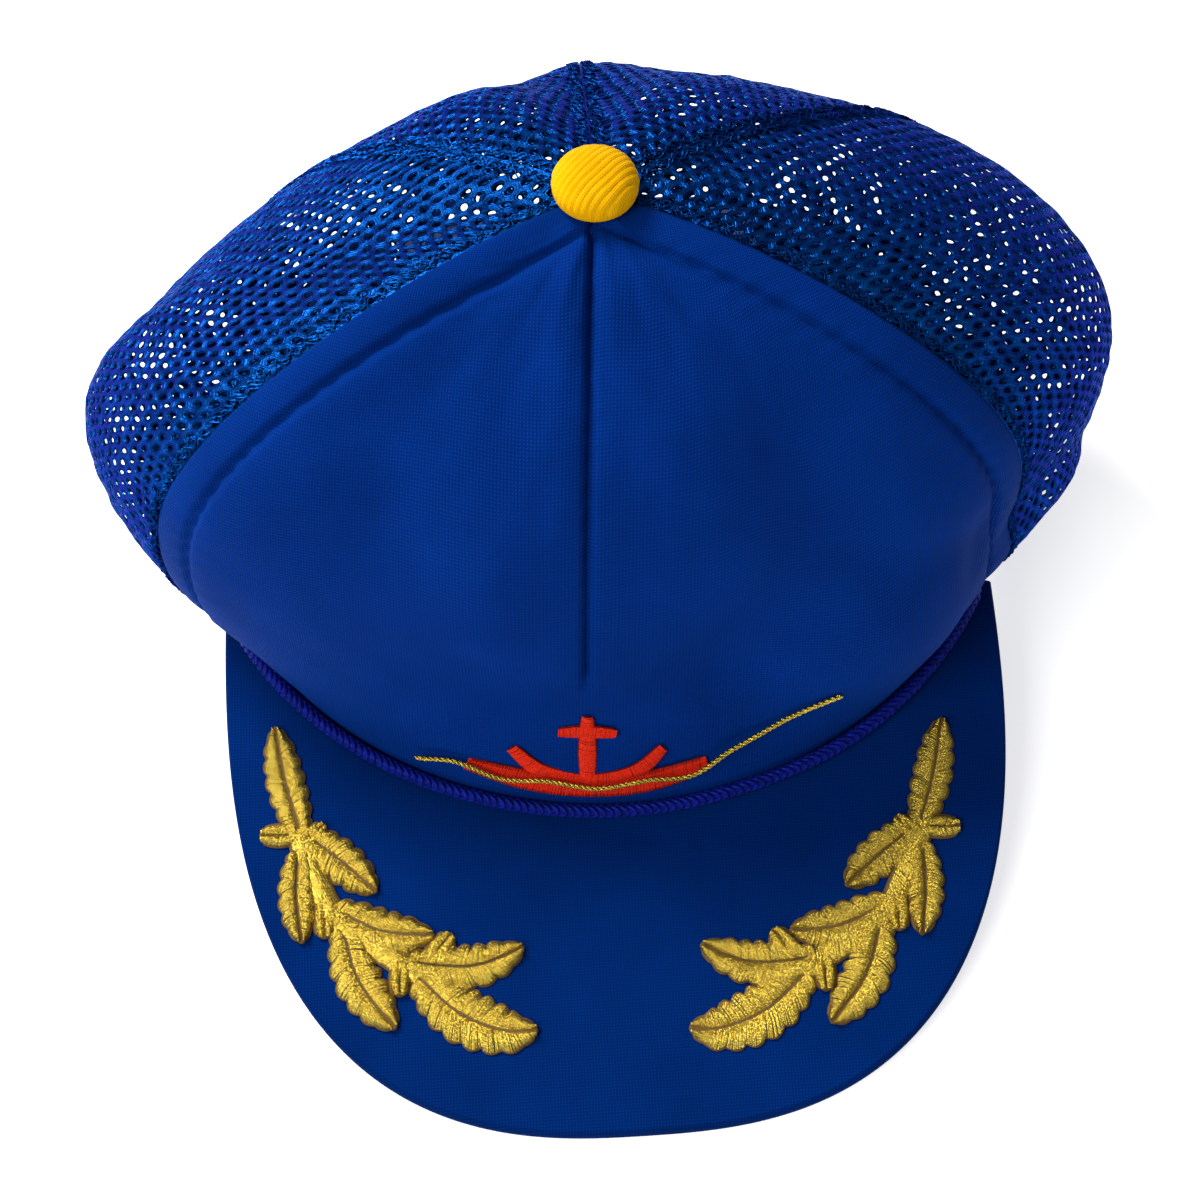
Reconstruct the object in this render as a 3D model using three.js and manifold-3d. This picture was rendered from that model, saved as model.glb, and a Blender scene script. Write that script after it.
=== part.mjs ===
// A snapback cap resting on a table: a padded front panel with a centre dart, four net panels,
// an arched brim with two leaf sprays, a braided rope, a covered button, a sweatband and a snap strap.
// Lengths are millimetres and angles degrees. +Z is up and the brim points towards -Y.
// Round the crown, an angle of 0 is the centre front, 90 the wearer's left (+X) and 180 the centre back.
import * as THREE from "three";
import { mergeVertices } from "three/addons/utils/BufferGeometryUtils.js";
import Module from "manifold-3d";

const wasm = await Module();
wasm.setup();

// Crown
const crownHeight = 124.4;
const frontReach = 84.2;
const sideReach = 93;
const backReach = 90;
const frontSeamAngle = 67;
const sideSeamAngle = 124;
const panelWall = 1.6;
const netWall = 1.4;
const seamGap = 0.3;
const bandGap = 0.9;
const tipRadius = 5.4;

// Front panel's relief
const stripWidth = 7.5;
const stitchWidth = 1.6;
const padRise = 1.4;
const stitchDepth = 0.5;
const dartWidth = 2.2;
const dartDepth = 1.3;
const dartLength = 88;
const dartAngle = -5.5;

// Brim
const frontRise = 12;
const templeRise = 18.4;
const brimReach = 73.2;
const brimHalfWidth = 91;
const brimCornerSetback = 0.5;
const brimSquareness = 2.65;
const brimThickness = 2.6;

// Rim, sweatband, back opening and strap
const restAngle = 135;
const sweatbandWall = 1.4;
const sweatbandHeight = 28;
const sweatbandEnd = 145;
const openingHalfWidth = 40;
const openingHeight = 44;
const bindingWidth = 7;
const bindingWall = 2.4;
const strapWall = 1.5;
const strapHeight = 18;
const strapEnd = 147;
const studRadius = 1.9;
const studHeight = 0.9;
const studCount = 5;
const studPitch = 8;

// Button and rope
const buttonRadius = 8.6;
const buttonHeight = 6.6;
const ropeRadius = 1.7;

// Embroidery
const leafThickness = 1.5;
const emblemThickness = 0.9;
const goldHalfWidth = 0.9;
const sprayTurn = -2.7;
const sprayShiftX = 1;
const sprayShiftY = 0.9;
const threadGap = 0.4;

const toRad = THREE.MathUtils.degToRad;
const toDeg = THREE.MathUtils.radToDeg;

// One row for each meridian round the crown, whose two sides have settled differently.
// A reach is a share of the rim's own reach there, and a rise is a share of crownHeight.
const sections = [
  { angle: -155, wallReach: 0.983, wallRise: 0.293, shoulderReach: 0.815, shoulderRise: 0.572, slopeReach: 0.502, slopeRise: 0.887 },
  { angle: -124, wallReach: 1.107, wallRise: 0.318, shoulderReach: 0.955, shoulderRise: 0.547, slopeReach: 0.495, slopeRise: 0.895 },
  { angle: -95, wallReach: 1.257, wallRise: 0.348, shoulderReach: 1.255, shoulderRise: 0.384, slopeReach: 0.43, slopeRise: 0.915 },
  { angle: -67, wallReach: 1.14, wallRise: 0.37, shoulderReach: 1.13, shoulderRise: 0.585, slopeReach: 0.27, slopeRise: 0.99 },
  { angle: -42, wallReach: 0.98, wallRise: 0.42, shoulderReach: 0.92, shoulderRise: 0.575, slopeReach: 0.345, slopeRise: 0.93 },
  { angle: -20, wallReach: 0.87, wallRise: 0.39, shoulderReach: 0.863, shoulderRise: 0.53, slopeReach: 0.432, slopeRise: 0.873 },
  { angle: 0, wallReach: 0.855, wallRise: 0.38, shoulderReach: 0.846, shoulderRise: 0.45, slopeReach: 0.437, slopeRise: 0.854 },
  { angle: 20, wallReach: 0.84, wallRise: 0.39, shoulderReach: 0.795, shoulderRise: 0.56, slopeReach: 0.431, slopeRise: 0.874 },
  { angle: 42, wallReach: 1.04, wallRise: 0.42, shoulderReach: 0.84, shoulderRise: 0.6, slopeReach: 0.335, slopeRise: 0.938 },
  { angle: 67, wallReach: 1.04, wallRise: 0.3, shoulderReach: 1.04, shoulderRise: 0.605, slopeReach: 0.26, slopeRise: 0.985 },
  { angle: 95, wallReach: 1.127, wallRise: 0.13, shoulderReach: 1.267, shoulderRise: 0.495, slopeReach: 0.42, slopeRise: 0.955 },
  { angle: 124, wallReach: 1.058, wallRise: 0.404, shoulderReach: 1.05, shoulderRise: 0.547, slopeReach: 0.5, slopeRise: 0.905 },
  { angle: 155, wallReach: 1.039, wallRise: 0.304, shoulderReach: 0.84, shoulderRise: 0.629, slopeReach: 0.496, slopeRise: 0.886 },
  { angle: 180, wallReach: 0.935, wallRise: 0.29, shoulderReach: 0.852, shoulderRise: 0.642, slopeReach: 0.444, slopeRise: 0.859 },
];

// Soft pushes in or out of the crown's wall. A spread is how far the push reaches to each side.
const slumps = [
  { angle: 76, share: 0.1, angleSpread: 20, shareSpread: 0.1, push: 7 },
];

function smoothstep(low, high, value) {
  return THREE.MathUtils.smoothstep(value, low, high);
}

function bump(distance) {
  return Math.abs(distance) < 1 ? (1 - distance * distance) ** 2 : 0;
}

// The cubic through (knots, values) whose slopes are blends of the neighbouring chords' own.
function throughKnots(knots, values, at) {
  const last = knots.length - 1;
  const chord = (i) => (values[i + 1] - values[i]) / (knots[i + 1] - knots[i]);
  const slope = (i) => {
    if (i === 0) return chord(0);
    if (i === last) return chord(last - 1);
    const before = knots[i] - knots[i - 1];
    const after = knots[i + 1] - knots[i];
    return (chord(i - 1) * after + chord(i) * before) / (before + after);
  };
  let i = 0;
  while (i < last - 1 && at > knots[i + 1]) i += 1;
  const width = knots[i + 1] - knots[i];
  const t = (at - knots[i]) / width;
  const cubic = (1 + 2 * t) * (1 - t) ** 2 * values[i] + t * t * (3 - 2 * t) * values[i + 1];
  return cubic + width * (t * (1 - t) ** 2 * slope(i) - t * t * (1 - t) * slope(i + 1));
}

// The sections once more past each end, so that the values run on round the back.
const wrapped = [
  ...sections.slice(-2).map((row) => ({ ...row, angle: row.angle - 360 })),
  ...sections,
  ...sections.slice(0, 2).map((row) => ({ ...row, angle: row.angle + 360 })),
];
const sectionAngles = wrapped.map((row) => row.angle);

function sectionValue(column, angle) {
  const turn = THREE.MathUtils.euclideanModulo(angle + 180, 360) - 180;
  return throughKnots(sectionAngles, wrapped.map((row) => row[column]), turn);
}

// The rim is an oval with its own reach to the front, the sides and the back.
function rimReach(angle) {
  const across = Math.sin(toRad(angle)) / sideReach;
  const along = Math.cos(toRad(angle));
  const ahead = along / (along > 0 ? frontReach : backReach);
  return 1 / Math.hypot(across, ahead);
}

function around(angle, reach, rise) {
  return new THREE.Vector3(reach * Math.sin(toRad(angle)), -reach * Math.cos(toRad(angle)), rise);
}

// The brim's plan runs from the temples, where the front seams end, round its front edge.
const temple = around(frontSeamAngle, rimReach(frontSeamAngle), 0);

function brimEdge(turn) {
  const across = Math.sign(turn) * Math.abs(Math.sin(toRad(turn))) ** (2 / brimSquareness);
  const ahead = Math.abs(Math.cos(toRad(turn))) ** (2 / brimSquareness);
  const cornerY = temple.y - brimCornerSetback;
  return new THREE.Vector2(across * brimHalfWidth, cornerY + ahead * (-frontReach - brimReach - cornerY));
}

// The brim slopes down from the rim until its edge first touches the table.
function brimTerms(x, y) {
  return { across: (x / temple.x) ** 2, ahead: -y - frontReach };
}

const templeAhead = -temple.y - frontReach;
const brimSlope = Math.min(
  ...Array.from({ length: 91 }, (_, turn) => {
    const edge = brimEdge(turn);
    const { across, ahead } = brimTerms(edge.x, edge.y);
    const height = frontRise - brimThickness - (frontRise - templeRise) * across;
    const run = ahead - templeAhead * across;
    return run > 0 ? height / run : Infinity;
  }),
);

function brimTop(x, y) {
  const { across, ahead } = brimTerms(x, y);
  return frontRise - brimSlope * ahead - (frontRise - brimSlope * templeAhead - templeRise) * across;
}

// The rim sits on the brim between the front seams, and comes down to the table behind them.
function rimRise(angle) {
  const folded = Math.abs(angle) > 180 ? 360 - Math.abs(angle) : Math.abs(angle);
  if (folded <= frontSeamAngle) {
    const foot = around(folded, rimReach(folded), 0);
    return brimTop(foot.x, foot.y) + seamGap;
  }
  return (templeRise + seamGap) * (1 - smoothstep(frontSeamAngle, restAngle, folded));
}

// A meridian's five points, from the rim over the wall, shoulder and slope to the top, and the slope's mirror image.
function meridian(angle) {
  const rim = rimReach(angle);
  const rise = rimRise(angle);
  const value = (column) => sectionValue(column, angle);
  const points = [
    new THREE.Vector2(rim, rise),
    new THREE.Vector2(rim * value("wallReach"), crownHeight * value("wallRise")),
    new THREE.Vector2(rim * value("shoulderReach"), crownHeight * value("shoulderRise")),
    new THREE.Vector2(rim * value("slopeReach"), crownHeight * value("slopeRise")),
    new THREE.Vector2(0, crownHeight),
    new THREE.Vector2(-rim * value("slopeReach"), crownHeight * value("slopeRise")),
  ];
  const knots = [0];
  for (let i = 1; i < points.length; i += 1) knots.push(knots[i - 1] + points[i].distanceTo(points[i - 1]));
  const length = knots[4];
  return { length, knots: knots.map((k) => k / length), reaches: points.map((p) => p.x), rises: points.map((p) => p.y) };
}

const meridians = new Map();

function meridianAt(angle) {
  const key = angle.toFixed(4);
  if (!meridians.has(key)) meridians.set(key, meridian(angle));
  return meridians.get(key);
}

function slump(angle, share) {
  return slumps.reduce((sum, row) => {
    const turn = THREE.MathUtils.euclideanModulo(angle - row.angle + 180, 360) - 180;
    return sum + row.push * bump(turn / row.angleSpread) * bump((share - row.share) / row.shareSpread);
  }, 0);
}

// A point of the crown's outer face: share 0 is the rim, and share 1 is the middle of the top.
function crownPoint(angle, share) {
  const { knots, reaches, rises } = meridianAt(angle);
  const reach = throughKnots(knots, reaches, share) + slump(angle, share);
  return around(angle, reach, throughKnots(knots, rises, share));
}

function crownNormal(angle, share) {
  const step = 0.004;
  const low = Math.max(share - step, 0);
  const up = crownPoint(angle, share + step).sub(crownPoint(angle, low));
  const round = crownPoint(angle + 0.5, share).sub(crownPoint(angle - 0.5, share));
  return round.cross(up).normalize();
}

function crownOffset(angle, share, out) {
  return crownPoint(angle, share).addScaledVector(crownNormal(angle, share), out);
}

function reachOf(angle, share) {
  const point = crownPoint(angle, share);
  return Math.hypot(point.x, point.y);
}

// The share of a meridian that a length up from the rim comes to, and the share where the top's hole starts.
const shareOf = (angle, length) => length / meridianAt(angle).length;
const tipShare = (angle) => 1 - tipRadius / meridianAt(angle).length;

// How many degrees a length along the crown takes at a share of a meridian.
const degreesOf = (angle, share, length) => toDeg(length / reachOf(angle, share));

// Every panel has the same rows, so that two panels meet all along their seam.
const panelRows = 14;

// A closed wall between two grids of points, which are functions of the column and the row.
function wallGeometry(columns, rows, outer, inner) {
  const positions = [];
  for (const face of [outer, inner]) {
    for (let i = 0; i <= columns; i += 1) {
      for (let j = 0; j <= rows; j += 1) positions.push(...face(i, j).toArray());
    }
  }
  const count = (columns + 1) * (rows + 1);
  const out = (i, j) => i * (rows + 1) + j;
  const back = (i, j) => count + out(i, j);
  const faces = [];
  const quad = (a, b, c, d) => faces.push(a, b, c, a, c, d);
  for (let i = 0; i < columns; i += 1) {
    for (let j = 0; j < rows; j += 1) {
      quad(out(i, j), out(i + 1, j), out(i + 1, j + 1), out(i, j + 1));
      quad(back(i, j), back(i, j + 1), back(i + 1, j + 1), back(i + 1, j));
    }
    quad(out(i, 0), back(i, 0), back(i + 1, 0), out(i + 1, 0));
    quad(out(i, rows), out(i + 1, rows), back(i + 1, rows), back(i, rows));
  }
  for (let j = 0; j < rows; j += 1) {
    quad(out(0, j), out(0, j + 1), back(0, j + 1), back(0, j));
    quad(out(columns, j), back(columns, j), back(columns, j + 1), out(columns, j + 1));
  }
  const geometry = new THREE.BufferGeometry();
  geometry.setAttribute("position", new THREE.Float32BufferAttribute(positions, 3));
  geometry.setIndex(faces);
  return geometry;
}

function solidOf(geometry) {
  const bare = geometry.clone();
  for (const name of ["normal", "uv"]) bare.deleteAttribute(name);
  const merged = mergeVertices(bare, 1e-4);
  return new wasm.Manifold(
    new wasm.Mesh({
      numProp: 3,
      vertProperties: new Float32Array(merged.attributes.position.array),
      triVerts: new Uint32Array(merged.index.array),
    }),
  );
}

function joined(geometries) {
  const whole = geometries.map(solidOf).reduce((sum, solid) => sum.add(solid));
  const mesh = whole.getMesh();
  const geometry = new THREE.BufferGeometry();
  geometry.setAttribute("position", new THREE.Float32BufferAttribute(Array.from(mesh.vertProperties), 3));
  geometry.setIndex(Array.from(mesh.triVerts));
  return geometry;
}

// The front panel's columns from the dart to one seam, as angles at a share, each with its relief.
const padColumns = 9;

function halfPanel(share, side) {
  const seam = side * frontSeamAngle;
  const span = Math.abs(seam - dartAngle) - degreesOf(seam, share, seamGap / 2);
  const strip = Math.min(degreesOf(seam, share, stripWidth), 0.3 * span);
  const stitch = Math.min(degreesOf(seam, share, stitchWidth), 0.08 * span);
  const dart = Math.min(degreesOf(dartAngle, share, dartWidth), 0.1 * span);
  const padSpan = span - strip - stitch;
  const rise = padRise * (1 - smoothstep(0.86, 0.95, share));
  const columns = [];
  for (let i = 0; i <= padColumns; i += 1) {
    const turn = dart + ((padSpan - dart) * i) / padColumns;
    columns.push({ turn, relief: i === padColumns ? 0.4 * rise : rise });
  }
  columns.push({ turn: span - strip, relief: -stitchDepth });
  columns.push({ turn: span - strip + stitch, relief: 0 });
  columns.push({ turn: span, relief: 0 });
  return columns.map(({ turn, relief }) => ({ angle: dartAngle + side * turn, relief }));
}

function dartFade(share) {
  const end = 1 - dartLength / meridianAt(dartAngle).length;
  return smoothstep(end, end + 0.12, share);
}

function frontPanel() {
  const columnsAt = (share) => {
    const [right, left] = [halfPanel(share, -1), halfPanel(share, 1)];
    const middle = { angle: dartAngle, relief: left[0].relief - dartDepth * dartFade(share) };
    return [...right.reverse(), middle, ...left];
  };
  const place = (i, j, wall) => {
    const { angle, relief } = columnsAt((tipShare(dartAngle) * j) / panelRows)[i];
    const share = (tipShare(angle) * j) / panelRows;
    const point = crownOffset(angle, share, wall ? -wall : relief);
    return j === 0 ? point.setZ(brimTop(point.x, point.y) + seamGap) : point;
  };
  const columns = columnsAt(0).length - 1;
  return wallGeometry(columns, panelRows, (i, j) => place(i, j, 0), (i, j) => place(i, j, panelWall));
}

// The back opening's arch: how far up the wall its edge is, for an arch that is wider and higher by `more`.
function archShare(angle, more) {
  const halfWidth = openingHalfWidth + more;
  const across = (toRad(180 - Math.abs(angle)) * rimReach(180)) / halfWidth;
  return across < 1 ? shareOf(angle, (openingHeight + more) * Math.sqrt(1 - across * across)) : 0;
}

// A net panel from one seam to the next. Its lower edge rises over the back opening.
function netPanel(angles) {
  const seamRib = 0.5;
  const from = angles[0];
  const span = angles[angles.length - 1] - from;
  const at = (i, j) => {
    const tip = tipShare(angles[i]);
    const foot = archShare(angles[i], bindingWidth + bandGap);
    const share = foot + ((tip - foot) * j) / panelRows;
    const inset = degreesOf(angles[i], share, seamGap / 2);
    return { angle: from + inset + ((angles[i] - from) * (span - 2 * inset)) / span, share };
  };
  const place = (i, j, out) => {
    const { angle, share } = at(i, j);
    const point = crownOffset(angle, share, out);
    return share === 0 ? point.setZ(rimRise(angle)) : point;
  };
  const last = angles.length - 1;
  const rib = (i) => (i === 0 || i === last ? seamRib : 0);
  return wallGeometry(last, panelRows, (i, j) => place(i, j, rib(i)), (i, j) => place(i, j, -netWall));
}

function evenAngles(from, to, steps) {
  return Array.from({ length: steps + 1 }, (_, i) => from + ((to - from) * i) / steps);
}

function sideAngles() {
  return evenAngles(frontSeamAngle, sideSeamAngle, 8);
}

// The back panel's columns close up where its lower edge runs over the opening.
function backAngles() {
  const archHalf = toDeg((openingHalfWidth + bindingWidth + bandGap) / rimReach(180));
  const beside = evenAngles(sideSeamAngle, 180 - archHalf, 3);
  const over = evenAngles(10, 90, 8).map((turn) => 180 - archHalf * Math.cos(toRad(turn)));
  return [...beside, ...over];
}

function onRight(angles) {
  return angles.map((angle) => -angle).reverse();
}

function openingBinding() {
  const turns = 16;
  const strips = 2;
  const place = (i, j, out) => {
    const turn = toRad(180 - (180 * i) / turns);
    const more = (bindingWidth * (strips - j)) / strips;
    const across = (openingHalfWidth + more) * Math.cos(turn);
    const up = (openingHeight + more) * Math.sin(turn);
    const angle = 180 - toDeg(across / rimReach(180));
    const point = crownOffset(angle, shareOf(angle, up), out);
    return i === 0 || i === turns ? point.setZ(rimRise(angle)) : point;
  };
  const proud = (bindingWall - netWall) / 2;
  return wallGeometry(turns, strips, (i, j) => place(i, j, proud), (i, j) => place(i, j, proud - bindingWall));
}

function brim() {
  const columns = 24;
  const rows = 6;
  const place = (i, j, drop) => {
    const across = (2 * i) / columns - 1;
    const angle = across * (frontSeamAngle - degreesOf(frontSeamAngle, 0, seamGap / 2));
    const root = around(angle, rimReach(angle) - panelWall, 0);
    const edge = brimEdge(90 * across);
    const x = THREE.MathUtils.lerp(root.x, edge.x, j / rows);
    const y = THREE.MathUtils.lerp(root.y, edge.y, j / rows);
    return new THREE.Vector3(x, y, brimTop(x, y) - drop);
  };
  return wallGeometry(columns, rows, (i, j) => place(i, j, brimThickness), (i, j) => place(i, j, 0));
}

// The sweatband stands upright inside the walls, level with the brim's underside in front and on the
// table behind, and leans in only where the wall does.
function sweatbandSetback(angle) {
  const inNet = smoothstep(frontSeamAngle + 1, frontSeamAngle + 8, Math.abs(angle));
  return bandGap + THREE.MathUtils.lerp(panelWall, netWall, inNet);
}

function sweatband() {
  const columns = 40;
  const rows = 3;
  const place = (i, j, wall) => {
    const angle = sweatbandEnd * ((2 * i) / columns - 1);
    const share = (shareOf(angle, sweatbandHeight) * j) / rows;
    const reach = Math.min(rimReach(angle), reachOf(angle, share)) - sweatbandSetback(angle) - wall;
    const underBrim = brimThickness + seamGap;
    const rise = j === 0 ? Math.max(rimRise(angle) - underBrim, 0) : crownPoint(angle, share).z;
    return around(angle, reach, rise);
  };
  return wallGeometry(columns, rows, (i, j) => place(i, j, 0), (i, j) => place(i, j, sweatbandWall));
}

function snapStrap() {
  const columns = 20;
  const rows = 3;
  const setback = (netWall + bindingWall) / 2 + bandGap;
  const place = (i, j, wall) => {
    const angle = 180 + (180 - strapEnd) * (1 - (2 * i) / columns);
    const point = crownOffset(angle, shareOf(angle, (strapHeight * j) / rows), -setback - wall);
    return j === 0 ? point.setZ(0) : point;
  };
  const band = wallGeometry(columns, rows, (i, j) => place(i, j, strapWall), (i, j) => place(i, j, 0));
  const studs = Array.from({ length: studCount }, (_, i) => {
    const angle = 180 + toDeg(((i - (studCount - 1) / 2) * studPitch) / rimReach(180));
    const share = shareOf(angle, strapHeight / 2);
    const stud = new THREE.CylinderGeometry(studRadius, studRadius, studHeight + strapWall / 2, 8);
    stud.applyQuaternion(new THREE.Quaternion().setFromUnitVectors(new THREE.Vector3(0, 1, 0), crownNormal(angle, share)));
    const middle = crownOffset(angle, share, -setback - strapWall / 4 + studHeight / 2);
    return stud.translate(middle.x, middle.y, middle.z);
  });
  return joined([band, ...studs]);
}

// The covered button is domed, and its shank passes through the hole at the top of the crown.
function button() {
  const shankRadius = tipRadius - seamGap - 0.6;
  const seat = crownHeight + bandGap;
  const profile = new THREE.Path();
  profile.moveTo(0, crownHeight - panelWall);
  profile.lineTo(shankRadius, crownHeight - panelWall);
  profile.lineTo(shankRadius, seat);
  profile.lineTo(buttonRadius - 0.6, seat);
  profile.quadraticCurveTo(buttonRadius, seat, buttonRadius, seat + 0.28 * buttonHeight);
  profile.bezierCurveTo(
    buttonRadius, seat + 0.75 * buttonHeight,
    buttonRadius * 0.6, seat + buttonHeight,
    0, seat + buttonHeight,
  );
  return new THREE.LatheGeometry(profile.getPoints(4), 24).rotateX(Math.PI / 2);
}

function rope() {
  const steps = 40;
  const ends = frontSeamAngle - 1;
  const points = evenAngles(-ends, ends, steps).map((angle) => {
    const foot = crownOffset(angle, shareOf(angle, ropeRadius), padRise + ropeRadius + threadGap);
    return foot.setZ(brimTop(foot.x, foot.y) + ropeRadius + seamGap);
  });
  const section = new THREE.Shape().absarc(0, 0, ropeRadius, 0, 2 * Math.PI);
  const path = new THREE.CatmullRomCurve3(points);
  return new THREE.ExtrudeGeometry(section, { steps, curveSegments: 3, bevelEnabled: false, extrudePath: path });
}

// Embroidery is built of strokes. Each is a ridged strip along a curved spine, raised from a surface,
// where surface(x, y, out) is the point at (x, y) of the design and `out` above the cloth.
function stroke(surface, spine, halfWidth, thickness, steps) {
  const strips = 2;
  const curve = new THREE.SplineCurve(spine.map(([x, y]) => new THREE.Vector2(x, y)));
  const place = (i, j, out) => {
    const along = 0.02 + (0.96 * i) / steps;
    const point = curve.getPoint(along);
    const tangent = curve.getTangent(along);
    const across = (2 * j) / strips - 1;
    const offset = across * halfWidth(along);
    return surface(point.x - tangent.y * offset, point.y + tangent.x * offset, out(across));
  };
  const crest = (across) => threadGap + thickness * (1 - 0.45 * across * across);
  return wallGeometry(steps, strips, (i, j) => place(i, j, crest), (i, j) => place(i, j, () => threadGap));
}

// A spray's strokes on the wearer's left, in plan from under the button: a spine and the greatest half width.
const sprayStrokes = [
  { part: "leaf", spine: [[70, -92], [74, -80], [77, -67]], halfWidth: 4.3 },
  { part: "leaf", spine: [[69, -92], [61, -98], [53, -105]], halfWidth: 4.8 },
  { part: "leaf", spine: [[70.5, -96], [70.5, -106], [69, -116]], halfWidth: 4 },
  { part: "leaf", spine: [[62, -109], [51, -114], [40, -115]], halfWidth: 4.8 },
  { part: "leaf", spine: [[60, -113], [56, -125], [48, -135]], halfWidth: 5.6 },
  { part: "leaf", spine: [[45, -121], [31, -122], [20, -118]], halfWidth: 4.8 },
  { part: "leaf", spine: [[43, -124], [34, -132], [24, -136], [17, -136]], halfWidth: 6.2 },
  { part: "bud", spine: [[71, -92], [79, -92]], halfWidth: 2.4 },
  { part: "bud", spine: [[70, -94], [65, -90]], halfWidth: 2 },
  { part: "bud", spine: [[64, -106], [64, -115]], halfWidth: 2.4 },
  { part: "bud", spine: [[41, -121], [36, -115]], halfWidth: 2.4 },
  { part: "bud", spine: [[47, -121], [47, -128]], halfWidth: 2.2 },
  { part: "stem", spine: [[71, -91], [66, -103], [60, -112], [42, -124]], halfWidth: 1.8 },
];

const leafLobes = 3;
const strokeWidths = {
  leaf: (along) => Math.sin(Math.PI * (0.06 + 0.9 * along)) ** 0.6 * (0.86 + 0.14 * Math.cos(2 * Math.PI * leafLobes * along)),
  bud: (along) => Math.sin(Math.PI * (0.12 + 0.76 * along)) ** 0.5,
  stem: () => 1,
};
const strokeSteps = { leaf: 8, bud: 2, stem: 4 };
const strokeRise = { leaf: 1, bud: 0.9, stem: 0.8 };

function leafSpray(side) {
  const centre = new THREE.Vector2();
  const surface = (x, y, out) => {
    const turned = new THREE.Vector2(x, y).rotateAround(centre, toRad(sprayTurn));
    const across = turned.x + sprayShiftX;
    const along = turned.y + sprayShiftY;
    return new THREE.Vector3(across, along, brimTop(across, along) + out);
  };
  const pieces = sprayStrokes.map(({ part, spine, halfWidth }) => {
    const placed = spine.map(([x, y]) => [side * x, y]);
    const width = (along) => halfWidth * strokeWidths[part](along);
    return stroke(surface, placed, width, leafThickness * strokeRise[part], strokeSteps[part]);
  });
  return joined(pieces);
}

// The emblem's strokes on the front panel: millimetres round the panel from the dart, and up from the brim.
const emblemStrokes = [
  { spine: [[-28, 9.5], [-14, 7.6], [0, 7.2], [14, 7.6], [28, 9.5]], halfWidth: 2.8 },
  { spine: [[0, 7], [0, 18], [0, 29]], halfWidth: 1.5 },
  { spine: [[-18, 17], [-11, 11], [0, 8.5], [11, 11], [18, 17]], halfWidth: 1.7 },
  { spine: [[-7, 23.4], [0, 24], [7, 23.4]], halfWidth: 1.3 },
];
const goldSpine = [[-39, 9], [-31, 11.5], [-20, 8.5], [-9, 9.5], [2, 8], [13, 9.5], [24, 8.5], [34, 13], [45, 17], [58, 26]];

// The gold line crosses over the red strokes, which end at emblemEnd from the dart.
const emblemEnd = 29;

function panelSurface(across, up, out) {
  const angle = dartAngle + toDeg(across / rimReach(dartAngle));
  return crownOffset(angle, shareOf(angle, up), padRise + out);
}

function emblemRed() {
  return joined(
    emblemStrokes.map(({ spine, halfWidth }) => {
      const width = (along) => halfWidth * Math.sin(Math.PI * (0.1 + 0.8 * along)) ** 0.4;
      return stroke(panelSurface, spine, width, emblemThickness, 3 * (spine.length - 1));
    }),
  );
}

function emblemGold() {
  const over = (across) => 1 - smoothstep(emblemEnd + 6, emblemEnd + 20, Math.abs(across));
  const surface = (across, up, out) =>
    panelSurface(across, up, out + over(across) * (emblemThickness + threadGap));
  return stroke(surface, goldSpine, () => goldHalfWidth, emblemThickness, 4 * (goldSpine.length - 1));
}

const finishes = {
  twill: new THREE.MeshStandardMaterial({ color: 0x0b2f86, roughness: 0.85 }),
  net: new THREE.MeshStandardMaterial({ color: 0x0e3f9e, roughness: 0.5 }),
  yellow: new THREE.MeshStandardMaterial({ color: 0xf0b400, roughness: 0.8 }),
  braid: new THREE.MeshStandardMaterial({ color: 0x1420a0, roughness: 0.55 }),
  gold: new THREE.MeshStandardMaterial({ color: 0xc9a23c, roughness: 0.4, metalness: 0.7 }),
  red: new THREE.MeshStandardMaterial({ color: 0xd8301c, roughness: 0.6 }),
  plastic: new THREE.MeshStandardMaterial({ color: 0x0d3a94, roughness: 0.35 }),
};

const cap = new THREE.Group();

function add(name, geometry, material) {
  const mesh = new THREE.Mesh(geometry, finishes[material]);
  mesh.name = name;
  cap.add(mesh);
}

add("front_panel", frontPanel(), "twill");
add("net_side_left", netPanel(sideAngles()), "net");
add("net_side_right", netPanel(onRight(sideAngles())), "net");
add("net_back_left", netPanel(backAngles()), "net");
add("net_back_right", netPanel(onRight(backAngles())), "net");
add("brim", brim(), "twill");
add("rope_braid", rope(), "braid");
add("crown_button", button(), "yellow");
add("sweatband", sweatband(), "twill");
add("opening_binding", openingBinding(), "twill");
add("snap_strap", snapStrap(), "plastic");
add("leaf_spray_left", leafSpray(1), "gold");
add("leaf_spray_right", leafSpray(-1), "gold");
add("emblem_red", emblemRed(), "red");
add("emblem_gold", emblemGold(), "gold");

// The origin is under the middle of the cap, on the table.
const bounds = new THREE.Box3().setFromObject(cap);
const middle = bounds.getCenter(new THREE.Vector3());
cap.position.set(-middle.x, -middle.y, -bounds.min.z);

export default cap;
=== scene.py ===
"""A snapback cap on a pale table: padded front, net panels, leaf sprays on the brim, a braid and a button.

Shapes are worked out in millimetres about the button's axis, +Z up and the brim towards -Y, and placed in the row
frame in metres. Round the crown, an angle of 0 is the centre front and 90 the wearer's left (+X).
"""

import math

import bpy
import numpy as np
from mathutils import Matrix, Vector


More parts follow.
